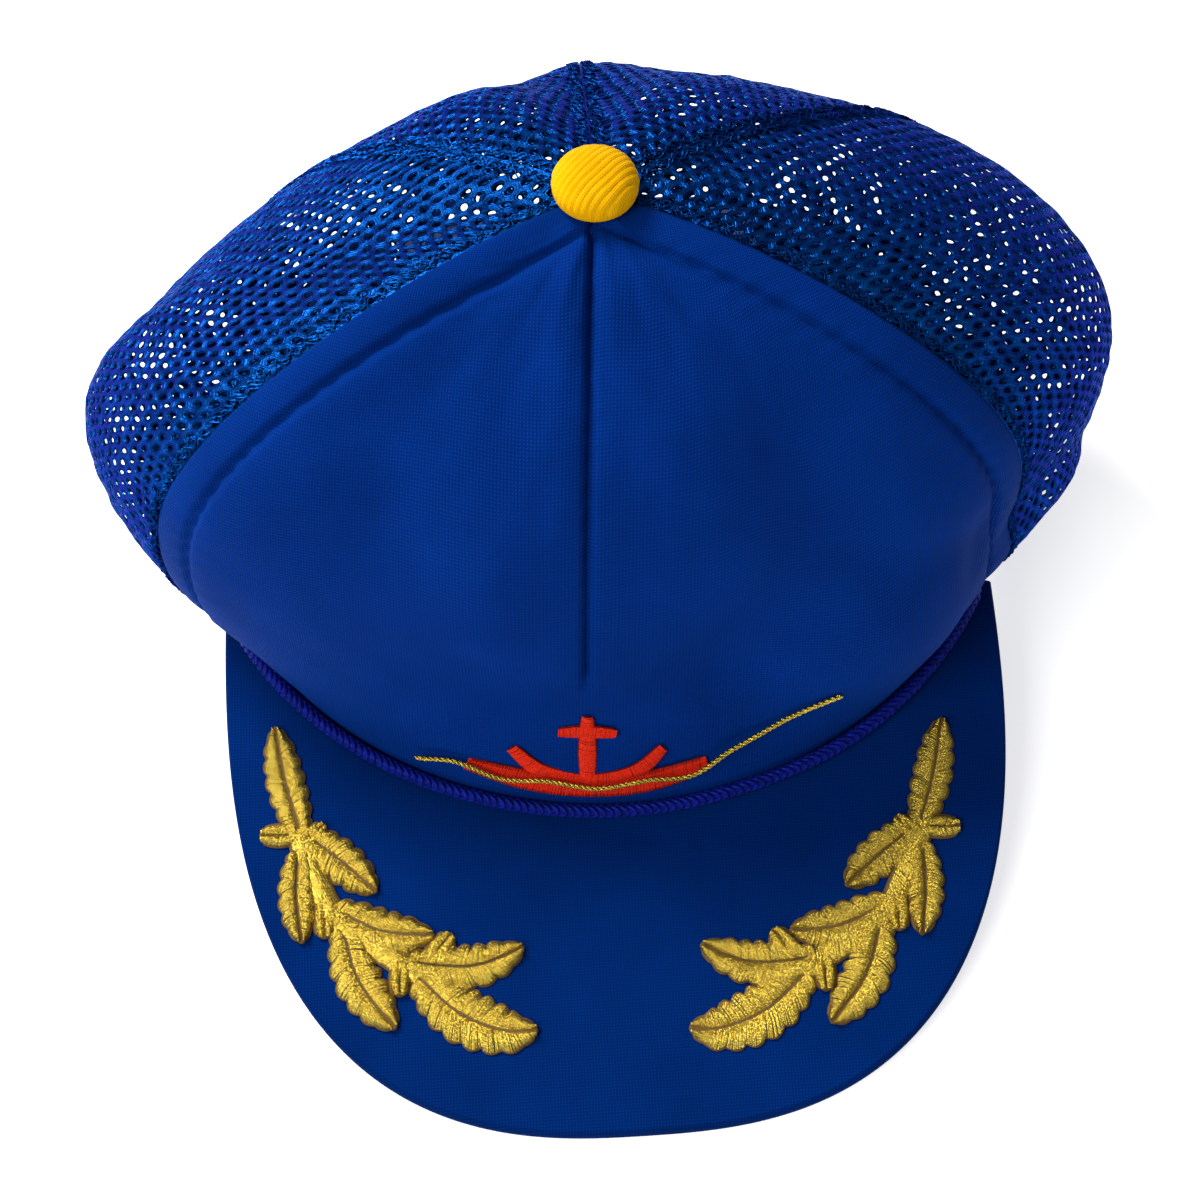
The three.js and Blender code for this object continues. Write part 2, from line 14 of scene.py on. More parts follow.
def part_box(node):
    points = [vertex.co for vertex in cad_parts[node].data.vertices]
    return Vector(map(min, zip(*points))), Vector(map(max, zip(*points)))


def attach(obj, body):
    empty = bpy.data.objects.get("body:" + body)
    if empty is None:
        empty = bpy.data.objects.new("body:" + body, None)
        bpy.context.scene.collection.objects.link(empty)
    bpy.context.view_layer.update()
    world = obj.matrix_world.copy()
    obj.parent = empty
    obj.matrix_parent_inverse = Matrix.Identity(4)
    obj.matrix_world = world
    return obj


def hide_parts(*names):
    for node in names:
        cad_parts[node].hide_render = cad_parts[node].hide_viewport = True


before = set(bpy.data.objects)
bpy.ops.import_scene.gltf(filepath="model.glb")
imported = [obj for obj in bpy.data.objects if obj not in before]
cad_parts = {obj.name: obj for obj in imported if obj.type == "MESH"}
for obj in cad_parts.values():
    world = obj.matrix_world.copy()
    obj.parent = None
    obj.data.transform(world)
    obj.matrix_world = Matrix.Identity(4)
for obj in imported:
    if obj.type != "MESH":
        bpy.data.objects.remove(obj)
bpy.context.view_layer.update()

MM = 0.001

# Sizes in millimetres, named as in the solids
CROWN_HEIGHT = 124.4
FRONT_REACH, SIDE_REACH, BACK_REACH = 84.2, 93.0, 90.0
FRONT_SEAM, SIDE_SEAM = 67.0, 124.0
PANEL_WALL, NET_WALL = 1.6, 1.4
SEAM_GAP, BAND_GAP, THREAD_GAP = 0.3, 0.9, 0.4
TIP_RADIUS = 5.4
STRIP_WIDTH, STITCH_WIDTH = 7.5, 1.6
PAD_RISE, STITCH_DEPTH = 1.4, 0.5
DART_WIDTH, DART_DEPTH, DART_LENGTH, DART_ANGLE = 2.2, 1.3, 88.0, -5.5
DART_TAIL = 20.0  # how far its crease shows past its seam
FRONT_RISE, TEMPLE_RISE = 12.0, 18.4
BRIM_REACH, BRIM_HALF_WIDTH, BRIM_THICKNESS = 73.2, 91.0, 2.6
BRIM_CORNER_SETBACK, BRIM_SQUARENESS = 0.5, 2.65
REST_ANGLE = 135.0
BAND_WALL, BAND_HEIGHT, BAND_END = 1.4, 28.0, 145.0
OPENING_HALF_WIDTH, OPENING_HEIGHT = 40.0, 44.0
BINDING_WIDTH, BINDING_WALL = 7.0, 2.4
STRAP_WALL, STRAP_HEIGHT, STRAP_END = 1.5, 18.0, 147.0
STUD_RADIUS, STUD_HEIGHT, STUD_COUNT, STUD_PITCH = 1.9, 0.9, 5, 8.0
BUTTON_RADIUS, BUTTON_HEIGHT = 8.6, 6.6
ROPE_RADIUS = 1.7
LEAF_THICKNESS, EMBLEM_THICKNESS = 1.5, 0.9
SPRAY_TURN, SPRAY_SHIFT = -2.7, (1.0, 0.9)

# Angle, then reach and rise of the wall, shoulder and slope, as in the solids
SECTIONS = np.array([
    (-155, 0.983, 0.293, 0.815, 0.572, 0.502, 0.887),
    (-124, 1.107, 0.318, 0.955, 0.547, 0.495, 0.895),
    (-95, 1.257, 0.348, 1.255, 0.384, 0.43, 0.915),
    (-67, 1.14, 0.37, 1.13, 0.585, 0.27, 0.99),
    (-42, 0.98, 0.42, 0.92, 0.575, 0.345, 0.93),
    (-20, 0.87, 0.39, 0.863, 0.53, 0.432, 0.873),
    (0, 0.855, 0.38, 0.846, 0.45, 0.437, 0.854),
    (20, 0.84, 0.39, 0.795, 0.56, 0.431, 0.874),
    (42, 1.04, 0.42, 0.84, 0.6, 0.335, 0.938),
    (67, 1.04, 0.3, 1.04, 0.605, 0.26, 0.985),
    (95, 1.127, 0.13, 1.267, 0.495, 0.42, 0.955),
    (124, 1.058, 0.404, 1.05, 0.547, 0.5, 0.905),
    (155, 1.039, 0.304, 0.84, 0.629, 0.496, 0.886),
    (180, 0.935, 0.29, 0.852, 0.642, 0.444, 0.859),
])
# Angle, share, angle spread, share spread and push
SLUMPS = [  # the rim pulled out at the temple, and the back seam drawn in
    (76.0, 0.1, 20.0, 0.1, 7.0), (180.0, 0.52, 34.0, 0.34, -2.4),
]

# The button's axis is the middle of the crown in plan.
button_low, button_high = (np.array(corner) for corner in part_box("crown_button"))
AXIS = np.array([*((button_low + button_high) / 2)[:2], 0.0])


def smoothstep(low, high, value):
    t = np.clip((value - low) / (high - low), 0, 1)
    return t * t * (3 - 2 * t)


def bump(distance):
    return np.where(np.abs(distance) < 1, (1 - np.minimum(distance**2, 1)) ** 2, 0.0)


def through_knots(knots, values, at):
    """The cubic through (knots, values) along the last axis, at one place of each row."""
    width = np.diff(knots, axis=-1)
    chord = np.diff(values, axis=-1) / width
    inner = (chord[..., :-1] * width[..., 1:] + chord[..., 1:] * width[..., :-1]) / (width[..., 1:] + width[..., :-1])
    slope = np.concatenate([chord[..., :1], inner, chord[..., -1:]], axis=-1)
    i = (at[..., None] > knots[..., 1:-1]).sum(axis=-1)[..., None]

    def pick(rows, k):
        return np.take_along_axis(rows, k, -1)[..., 0]

    run = pick(width, i)
    t = (at - pick(knots, i)) / run
    cubic = (1 + 2 * t) * (1 - t) ** 2 * pick(values, i) + t * t * (3 - 2 * t) * pick(values, i + 1)
    return cubic + run * (t * (1 - t) ** 2 * pick(slope, i) - t * t * (1 - t) * pick(slope, i + 1))


def rim_reach(angle):
    turn = np.radians(angle)
    along = np.cos(turn)
    return 1 / np.hypot(np.sin(turn) / SIDE_REACH, along / np.where(along > 0, FRONT_REACH, BACK_REACH))


def around(angle, reach, rise):
    turn = np.radians(angle)
    return np.stack(np.broadcast_arrays(reach * np.sin(turn), -reach * np.cos(turn), rise), axis=-1)


TEMPLE = around(FRONT_SEAM, rim_reach(FRONT_SEAM), 0.0)
TEMPLE_AHEAD = -TEMPLE[1] - FRONT_REACH


def brim_edge(turn):
    """The brim's front edge in plan, from -90 at one temple to 90 at the other."""
    turn = np.radians(turn)
    power = 2 / BRIM_SQUARENESS
    across = np.sign(turn) * np.abs(np.sin(turn)) ** power
    ahead = np.abs(np.cos(turn)) ** power
    corner = TEMPLE[1] - BRIM_CORNER_SETBACK
    return across * BRIM_HALF_WIDTH, corner + ahead * (-FRONT_REACH - BRIM_REACH - corner)


def brim_terms(x, y):
    return (x / TEMPLE[0]) ** 2, -y - FRONT_REACH


def brim_slope():
    across, ahead = brim_terms(*brim_edge(np.arange(91.0)))
    height = FRONT_RISE - BRIM_THICKNESS - (FRONT_RISE - TEMPLE_RISE) * across
    run = ahead - TEMPLE_AHEAD * across
    return (height[run > 0] / run[run > 0]).min()


BRIM_SLOPE = brim_slope()


def brim_top(x, y):
    across, ahead = brim_terms(x, y)
    return FRONT_RISE - BRIM_SLOPE * ahead - (FRONT_RISE - BRIM_SLOPE * TEMPLE_AHEAD - TEMPLE_RISE) * across


def rim_rise(angle):
    turned = np.abs((np.asarray(angle, float) + 180) % 360 - 180)
    foot = around(turned, rim_reach(turned), 0.0)
    on_brim = brim_top(foot[..., 0], foot[..., 1]) + SEAM_GAP
    behind = (TEMPLE_RISE + SEAM_GAP) * (1 - smoothstep(FRONT_SEAM, REST_ANGLE, turned))
    return np.where(turned <= FRONT_SEAM, on_brim, behind)


def meridian_table():
    """Knots, reaches and rises of the meridians at every tenth of a degree."""
    angles = np.arange(-1800, 1801) / 10
    before, after = SECTIONS[-2:].copy(), SECTIONS[:2].copy()
    before[:, 0] -= 360
    after[:, 0] += 360
    rows = np.vstack([before, SECTIONS, after])
    knots = np.broadcast_to(rows[:, 0], (len(angles), len(rows)))
    shares = [through_knots(knots, np.broadcast_to(rows[:, c], knots.shape), angles) for c in range(1, 7)]
    rim = rim_reach(angles)
    nil = np.zeros_like(rim)
    reaches = np.stack([rim, rim * shares[0], rim * shares[2], rim * shares[4], nil, -rim * shares[4]], axis=-1)
    top = CROWN_HEIGHT + nil
    rises = CROWN_HEIGHT * np.stack([nil, shares[1], shares[3], shares[5], nil, shares[5]], axis=-1)
    rises[:, 0], rises[:, 4] = rim_rise(angles), top
    lengths = np.hypot(np.diff(reaches, axis=-1), np.diff(rises, axis=-1))
    along = np.concatenate([nil[:, None], np.cumsum(lengths, axis=-1)], axis=-1)
    return along[:, 4], along / along[:, 4:5], reaches, rises


LENGTHS, KNOTS, REACHES, RISES = meridian_table()


def blended(table, angle):
    """A row of the table at any angle, between its tenths of a degree."""
    place = ((np.asarray(angle, float) + 180) % 360) * 10
    i = np.minimum(place.astype(int), 3599)
    t = place - i
    if table.ndim > 1:
        t = t[..., None]
    return table[i] * (1 - t) + table[i + 1] * t


def length_at(angle):
    return blended(LENGTHS, angle)


def crown_point(angle, share):
    """A point of the crown's outer face: share 0 is the rim, and share 1 is the middle of the top."""
    angle, share = np.broadcast_arrays(np.asarray(angle, float), np.asarray(share, float))
    knots = blended(KNOTS, angle)
    reach = through_knots(knots, blended(REACHES, angle), share)
    for at, level, turn_spread, share_spread, push in SLUMPS:
        turn = (angle - at + 180) % 360 - 180
        reach = reach + push * bump(turn / turn_spread) * bump((share - level) / share_spread)
    return around(angle, reach, through_knots(knots, blended(RISES, angle), share))


def unit(v):
    return v / np.maximum(np.linalg.norm(v, axis=-1, keepdims=True), 1e-12)


def run_of(path):
    """The length of a path of points up to each of them."""
    return np.concatenate([[0], np.cumsum(np.linalg.norm(np.diff(path, axis=0), axis=-1))])


def sampled(rows, run, at):
    """Rows of coordinates, read between their places along a run."""
    return np.stack([np.interp(at, run, column) for column in rows.T], axis=-1)


def crown_normal(angle, share):
    step = 0.004
    up = crown_point(angle, share + step) - crown_point(angle, np.maximum(share - step, 0))
    side = crown_point(angle + 0.5, share) - crown_point(angle - 0.5, share)
    return unit(np.cross(side, up))


def crown_offset(angle, share, out):
    angle, share, out = np.broadcast_arrays(*(np.asarray(v, float) for v in (angle, share, out)))
    return crown_point(angle, share) + crown_normal(angle, share) * out[..., None]


def share_of(angle, length):
    return length / length_at(angle)


def tip_share(angle):
    return 1 - TIP_RADIUS / length_at(angle)


def reach_of(angle, share):
    return np.hypot(*np.moveaxis(crown_point(angle, share)[..., :2], -1, 0))


def degrees_of(angle, share, length):
    return np.degrees(length / reach_of(angle, share))


def ripple(x, y, wavelength, seed):
    """A smooth random surface between about -1 and 1."""
    draw = np.random.default_rng(seed)
    total = 0.0
    for _ in range(7):
        turn, phase, stretch = draw.uniform(0, 2 * math.pi), draw.uniform(0, 2 * math.pi), draw.uniform(0.7, 1.5)
        total = total + np.sin(2 * math.pi * (x * math.cos(turn) + y * math.sin(turn)) * stretch / wavelength + phase)
    return total / 3.5


class Build:
    """Gathers grids of quads into one mesh."""

    def __init__(self):
        self.points, self.quads, self.uvs, self.finishes, self.count = [], [], [], [], 0

    def add(self, points, quads, uvs=None, finish=0):
        points = np.asarray(points, float).reshape(-1, 3)
        self.points.append(points)
        self.quads.append(np.asarray(quads, int) + self.count)
        self.uvs.append(np.zeros((len(points), 2)) if uvs is None else np.asarray(uvs, float).reshape(-1, 2))
        self.finishes.append(np.full(len(quads), finish))
        self.count += len(points)

    def grid(self, points, uvs=None, finish=0, flip=False, around=False):
        n, m = points.shape[:2]
        i, j = np.meshgrid(np.arange(n - 1), np.arange(m if around else m - 1), indexing="ij")
        a, b = i * m + j, (i + 1) * m + j
        c, d = (i + 1) * m + (j + 1) % m, i * m + (j + 1) % m
        order = [a, d, c, b] if flip else [a, b, c, d]
        self.add(points, np.stack(order, axis=-1).reshape(-1, 4), uvs, finish)

    def wall(self, outer, inner, uvs=None, finish=0):
        """A closed wall between two grids, whose columns run anticlockwise and rows upwards seen from outside."""
        n, m = outer.shape[:2]
        i, j = np.meshgrid(np.arange(n - 1), np.arange(m - 1), indexing="ij")
        a, back = i * m + j, n * m
        face = np.stack([a, a + m, a + m + 1, a + 1], axis=-1).reshape(-1, 4)
        rear = face[:, ::-1] + back
        c = np.arange(n - 1) * m
        foot = np.stack([c, c + back, c + m + back, c + m], axis=-1)
        top = np.stack([c + m - 1, c + 2 * m - 1, c + 2 * m - 1 + back, c + m - 1 + back], axis=-1)
        r = np.arange(m - 1)
        first = np.stack([r, r + 1, r + 1 + back, r + back], axis=-1)
        r = r + (n - 1) * m
        last = np.stack([r, r + back, r + 1 + back, r + 1], axis=-1)
        both = None if uvs is None else np.concatenate([uvs.reshape(-1, 2)] * 2)
        points = np.concatenate([outer.reshape(-1, 3), inner.reshape(-1, 3)])
        self.add(points, np.concatenate([face, rear, foot, top, first, last]), both, finish)

    def tube(self, path, radius, sides=6, finish=0):
        """A round tube along a path of points; its texture runs along u and round v."""
        path = np.asarray(path, float)
        tangent = unit(np.gradient(path, axis=0))
        side = unit(np.cross(tangent, np.array([0.03, 0.05, 1.0])))
        other = np.cross(side, tangent)
        radius = np.broadcast_to(np.asarray(radius, float), len(path))
        path, side, other = (np.concatenate([v[:1], v, v[-1:]]) for v in (path, side, other))
        radius = np.concatenate([[0.01], radius, [0.01]])
        turn = np.linspace(0, 2 * math.pi, sides, endpoint=False)
        ring = side[:, None] * np.cos(turn)[None, :, None] + other[:, None] * np.sin(turn)[None, :, None]
        run = run_of(path)
        uv = np.stack(np.broadcast_arrays(run[:, None], (turn / (2 * math.pi))[None]), axis=-1)
        self.grid(path[:, None] + ring * radius[:, None, None], uv, finish, around=True)

    def piece(self, name, finishes, slot, *nodes):
        points = np.concatenate(self.points) * MM + AXIS
        quads, uvs = np.concatenate(self.quads), np.concatenate(self.uvs)
        mesh = bpy.data.meshes.new(name)
        mesh.vertices.add(len(points))
        mesh.vertices.foreach_set("co", points.ravel())
        mesh.loops.add(quads.size)
        mesh.loops.foreach_set("vertex_index", quads.ravel())
        mesh.polygons.add(len(quads))
        mesh.polygons.foreach_set("loop_start", np.arange(0, quads.size, 4))
        mesh.uv_layers.new(name="cloth").data.foreach_set("uv", uvs[quads.ravel()].ravel())
        for finish in finishes:
            mesh.materials.append(finish)
        mesh.polygons.foreach_set("material_index", np.concatenate(self.finishes))
        mesh.update(calc_edges=True)
        mesh.shade_smooth()
        made = bpy.data.objects.new(name, mesh)
        bpy.context.scene.collection.objects.link(made)
        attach(made, "root")
        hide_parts(*nodes)
        return made


class Finish:
    """A node material under construction."""

    def __init__(self, name):
        self.material = bpy.data.materials.new(name)
        self.material.use_nodes = True
        self.tree = self.material.node_tree
        self.shader = self.tree.nodes["Principled BSDF"]
        self.uv = self.node("ShaderNodeUVMap", uv_map="cloth").outputs[0]
        self.place = self.node("ShaderNodeTexCoord").outputs["Object"]

    def node(self, kind, **settings):
        made = self.tree.nodes.new(kind)
        for key, value in settings.items():
            setattr(made, key, value)
        return made

    def put(self, socket, value):
        if isinstance(value, bpy.types.NodeSocket):
            self.tree.links.new(value, socket)
        else:
            socket.default_value = value

    def math(self, operation, a, b=0.0, clamp=False):
        made = self.node("ShaderNodeMath", operation=operation, use_clamp=clamp)
        self.put(made.inputs[0], a)
        self.put(made.inputs[1], b)
        return made.outputs[0]

    def axes(self, vector):
        split = self.node("ShaderNodeSeparateXYZ")
        self.put(split.inputs[0], vector)
        return split.outputs

    def wave(self, value, pitch, phase=0.0):
        """A sine of the value, from 0 to 1, one wave in each pitch."""
        turns = self.math("MULTIPLY_ADD", value, 2 * math.pi / pitch)
        turns.node.inputs[2].default_value = phase
        return self.math("MULTIPLY_ADD", self.math("SINE", turns), 0.5, clamp=False)

    def noise(self, scale, detail=3.0, vector=None, stretch=None):
        made = self.node("ShaderNodeTexNoise")
        made.inputs["Scale"].default_value = scale
        made.inputs["Detail"].default_value = detail
        source = self.place if vector is None else vector
        if stretch is not None:
            mapping = self.node("ShaderNodeMapping")
            self.put(mapping.inputs["Vector"], source)
            mapping.inputs["Scale"].default_value = stretch
            source = mapping.outputs[0]
        self.put(made.inputs["Vector"], source)
        return made.outputs["Fac"]

    def ramp(self, value, *stops):
        made = self.node("ShaderNodeValToRGB")
        for place, colour in stops:
            at = made.color_ramp.elements.new(place)
            at.color = (*colour, 1)
        made.color_ramp.elements.remove(made.color_ramp.elements[0])
        made.color_ramp.elements.remove(made.color_ramp.elements[-1])
        self.put(made.inputs[0], value)
        return made.outputs[0]

    def blend(self, kind, share, a, b):
        made = self.node("ShaderNodeMix", data_type="RGBA", blend_type=kind)
        self.put(made.inputs[0], share)
        self.put(made.inputs[6], a)
        self.put(made.inputs[7], b)
        return made.outputs[2]

    def bumps(self, *layers):
        """Layers of (height, distance in millimetres), each on the one before."""
        normal = None
        for height, distance in layers:
            made = self.node("ShaderNodeBump")
            made.inputs["Strength"].default_value = 1.0
            made.inputs["Distance"].default_value = distance * MM
            self.put(made.inputs["Height"], height)
            if normal is not None:
                self.put(made.inputs["Normal"], normal)
            normal = made.outputs[0]
        self.put(self.shader.inputs["Normal"], normal)

    def set(self, **values):
        for key, value in values.items():
            self.put(self.shader.inputs[key.replace("_", " ")], value)
        return self.material


def mixed(colour, factor):
    return tuple(min(1.0, c * factor) for c in colour)


def cloth(name, colour, pitch, depth):
    """Woven cloth of two crossing threads, with soft unevenness in its dye, and painted shade and highlight on its
    weave.
    """
    made = Finish(name)
    u, v, _ = made.axes(made.uv)
    weave = made.math("MULTIPLY", made.wave(u, pitch), made.wave(v, pitch))
    dye = made.ramp(made.noise(45.0, 4.0), (0.3, mixed(colour, 0.88)), (0.7, mixed(colour, 1.12)))
    # Painted shade in the dips of the weave and painted highlight on the threads' crowns
    shade = made.ramp(weave, (0.0, (0.74, 0.74, 0.74)), (0.6, (1.18, 1.18, 1.18)))
    made.bumps((weave, depth), (made.noise(3200.0, 2.0), depth * 0.6))
    made.set(Base_Color=made.blend("MULTIPLY", 1.0, dye, shade), Roughness=0.85)
    made.set(Specular_IOR_Level=0.06, Specular_Tint=(0.02, 0.25, 1.0, 1))
    return made.set(Sheen_Weight=0.04, Sheen_Roughness=0.4, Sheen_Tint=(0.0, 0.25, 1.0, 1))


def netting():
    """Shiny filaments, three or four to a strand, that run along v's lines, with painted highlight and shade across
    them.
    """
    made = Finish("net_threads")
    filament = made.wave(made.axes(made.uv)[1], 0.3)
    wander = made.noise(1500.0, 2.0)
    dye = made.ramp(made.noise(260.0, 3.0), (0.3, (0.001, 0.03, 0.16)), (0.75, (0.004, 0.09, 0.4)))
    # Painted highlight along each filament's crown and painted shade between the filaments
    shade = made.ramp(filament, (0.0, (0.6, 0.6, 0.6)), (1.0, (1.3, 1.3, 1.3)))
    made.bumps((filament, 0.1), (wander, 0.14))
    made.set(Base_Color=made.blend("MULTIPLY", 1.0, dye, shade), Roughness=0.32, Metallic=0.92)
    return made.set(Specular_IOR_Level=0.2, Specular_Tint=(0.02, 0.18, 0.55, 1))


def thread(name, low, high, **values):
    """Metal-wrapped or satin thread with fine windings across it."""
    made = Finish(name)
    winding = made.wave(made.axes(made.uv)[0], 0.24)
    body = made.ramp(made.noise(4200.0, 2.0), (0.35, low), (0.65, high))
    made.bumps((winding, 0.04), (made.noise(3600.0, 2.0), 0.14))
    return made.set(Base_Color=body, **values)


def braid_finish():
    made = Finish("braid_threads")
    lay = made.wave(made.axes(made.uv)[1], 0.2)
    dye = made.ramp(made.noise(700.0, 3.0), (0.3, (0.002, 0.005, 0.12)), (0.75, (0.006, 0.016, 0.32)))
    made.bumps((lay, 0.05), (made.noise(2400.0, 2.0), 0.05))
    made.set(Base_Color=dye, Roughness=0.42, Specular_Tint=(0.1, 0.2, 1.0, 1))
    return made.set(Sheen_Weight=0.08, Sheen_Tint=(0.1, 0.2, 1.0, 1), Specular_IOR_Level=0.3)


def button_finish():
    """Yellow ribbed cloth; the ribs are in the mesh, and the threads cross them here."""
    made = Finish("ribbed_yellow")
    u, v, _ = made.axes(made.uv)
    cross = made.wave(v, 0.42)
    fine = made.wave(u, 0.5)
    weave = made.math("MULTIPLY", cross, fine)
    dye = made.ramp(made.noise(160.0, 3.0), (0.3, (0.74, 0.36, 0.001)), (0.7, (0.82, 0.42, 0.003)))
    made.bumps((weave, 0.07), (made.noise(2600.0, 2.0), 0.05))
    made.set(Base_Color=dye, Roughness=0.8)
    return made.set(Specular_IOR_Level=0.1, Specular_Tint=(1.0, 0.7, 0.05, 1))


def plastic_finish():
    made = Finish("strap_plastic")
    made.bumps((made.noise(900.0, 2.0), 0.02))
    dye = made.ramp(made.noise(60.0, 2.0), (0.3, (0.004, 0.035, 0.2)), (0.7, (0.006, 0.05, 0.26)))
    made.set(Base_Color=dye, Roughness=0.42)
    return made.set(Specular_IOR_Level=0.45)


panel_cloth = cloth("panel_cloth", (0.0012, 0.0265, 0.203), 0.72, 0.1)
brim_cloth = cloth("brim_cloth", (0.0006, 0.0203, 0.142), 0.68, 0.08)
# Painted shade: the brim's rounded edge and its ends get a darker blue than its faces
edge_cloth = cloth("brim_edge_cloth", (0.0005, 0.0161, 0.112), 0.68, 0.05)
tape_cloth = cloth("tape_cloth", (0.004, 0.03, 0.19), 0.8, 0.08)
net_threads = netting()
gold_threads = thread(
    "gold_thread", (0.3, 0.18, 0.014), (1.0, 0.78, 0.13), Metallic=0.95, Roughness=0.26, Specular_IOR_Level=0.5
)
# Painted shadow: the dark gold of the ground under the sprays, which shows round the satin and in the gaps between
# its threads
gold_painted_shadow_ground = thread("gold_painted_shadow_ground", (0.1, 0.05, 0.008), (0.2, 0.11, 0.02), Metallic=0.3, Roughness=0.7)
red_gloss = {"Specular_IOR_Level": 0.3, "Specular_Tint": (1.0, 0.15, 0.05, 1)}
red_threads = thread("red_thread", (0.6, 0.01, 0.004), (0.95, 0.045, 0.015), Roughness=0.45, **red_gloss)
# Painted shadow: the dark red of the ground under the emblem, which shows round its satin
red_painted_shadow_ground = thread("red_painted_shadow_ground", (0.12, 0.004, 0.003), (0.2, 0.01, 0.006), Roughness=0.8, **red_gloss)
braid_threads = braid_finish()
yellow_cloth = button_finish()
strap_plastic = plastic_finish()


# Front panel


def panel_relief(seam_distance, dart_distance, share, up):
    """The panel's height over the crown's face: strip, stitched groove, pad and dart, with their puckers."""
    inside = seam_distance - STRIP_WIDTH
    rise = PAD_RISE * (1 - smoothstep(0.86, 0.95, share))
    pad = rise * (1 - np.exp(-np.maximum(inside, 0) / 1.6))
    strip = 0.35 * np.clip(np.sin(math.pi * np.clip(seam_distance / STRIP_WIDTH, 0, 1)), 0, 1)
    groove = -(STITCH_DEPTH + 0.55) * bump(inside / STITCH_WIDTH)
    pucker = 0.26 * np.exp(-np.abs(inside) / 2.2) * np.sin(2 * math.pi * up / 5.2 + 1.4 * ripple(up, 0 * up, 21, 3))
    end = 1 - (DART_LENGTH + DART_TAIL) / length_at(DART_ANGLE)
    fade = smoothstep(end, end + 0.035, share)
    crease = -1.7 * DART_DEPTH * np.clip(1 - dart_distance / DART_WIDTH, 0, 1) ** 2
    swell = 0.3 * bump((dart_distance - 5) / 5)
    ease = 0.16 * np.exp(-dart_distance / 3) * np.sin(2 * math.pi * up / 6.1)
    dimple = -1.0 * bump(dart_distance / 2.6) * bump((share - end) / 0.022)
    return pad + strip + groove + pucker + fade * (crease + swell + ease) + dimple


def panel_columns(share, side):
    """Turns from the dart and distances from the seam, finer at the dart and the groove."""
    seam = side * FRONT_SEAM
    span = abs(seam - DART_ANGLE) - degrees_of(seam, share, SEAM_GAP / 2)
    strip = np.minimum(degrees_of(seam, share, STRIP_WIDTH), 0.3 * span)
    groove = np.minimum(degrees_of(seam, share, 2.6), 0.09 * span)
    dart = np.minimum(degrees_of(DART_ANGLE, share, DART_WIDTH + 0.6), 0.1 * span)
    stops = [0 * span, dart, span - strip - groove, span - strip + groove, span]
    steps = [8, 62, 10, 8]
    turns = [
        stops[k][None] + (stops[k + 1] - stops[k])[None] * np.arange(n)[:, None] / n
        for k, n in enumerate(steps)
    ]
    return np.concatenate([*turns, span[None]])


def front_panel():
    rows = 130
    level = np.linspace(0, 1, rows + 1)
    share = tip_share(DART_ANGLE) * level
    right, left = panel_columns(share, -1), panel_columns(share, 1)
    turns = np.concatenate([-right[::-1], left[1:]])
    angle = DART_ANGLE + turns
    tip = tip_share(angle)
    shares = tip * level[None]
    side = np.sign(turns + 1e-9)
    seam_angle = side * FRONT_SEAM
    per_degree = np.radians(1.0) * reach_of(angle, shares)
    seam_distance = np.abs(seam_angle - angle) * per_degree
    dart_distance = np.abs(turns) * per_degree
    up = shares * length_at(angle)
    relief = panel_relief(seam_distance, dart_distance, shares, up)
    across = turns * np.radians(1.0) * rim_reach(DART_ANGLE)
    fade = smoothstep(0, 0.06, shares) * smoothstep(0, 6, seam_distance - STRIP_WIDTH)
    relief = relief + 0.38 * fade * ripple(across, up, 46, 11) + 0.12 * fade * ripple(across, up, 17, 12)
    fold = bump((seam_distance - 13) / 10) * bump((up - 44) / 13)
    shoulder = bump((seam_distance - 20) / 13) * bump((up - 63) / 16)
    relief = relief - 2.0 * np.where(side > 0, fold - 0.7 * shoulder, 0)
    outer = crown_offset(angle, shares, relief)
    inner = crown_offset(angle, shares, -PANEL_WALL)
    for grid in (outer, inner):
        grid[:, 0, 2] = brim_top(grid[:, 0, 0], grid[:, 0, 1]) + SEAM_GAP
    built = Build()
    uvs = np.stack([turns * per_degree, up], axis=-1)
    built.wall(outer, inner, uvs)
    made = built.piece("front_panel_padded", [panel_cloth], "twill", "front_panel")
    return made


# Net panels

CELL_PITCH = 3.5
CELL_ROW = CELL_PITCH * math.sqrt(3) / 2
HOLE_RADIUS = 0.84
STRAND_HEIGHT = 0.3
NET_TUCK = 0.6


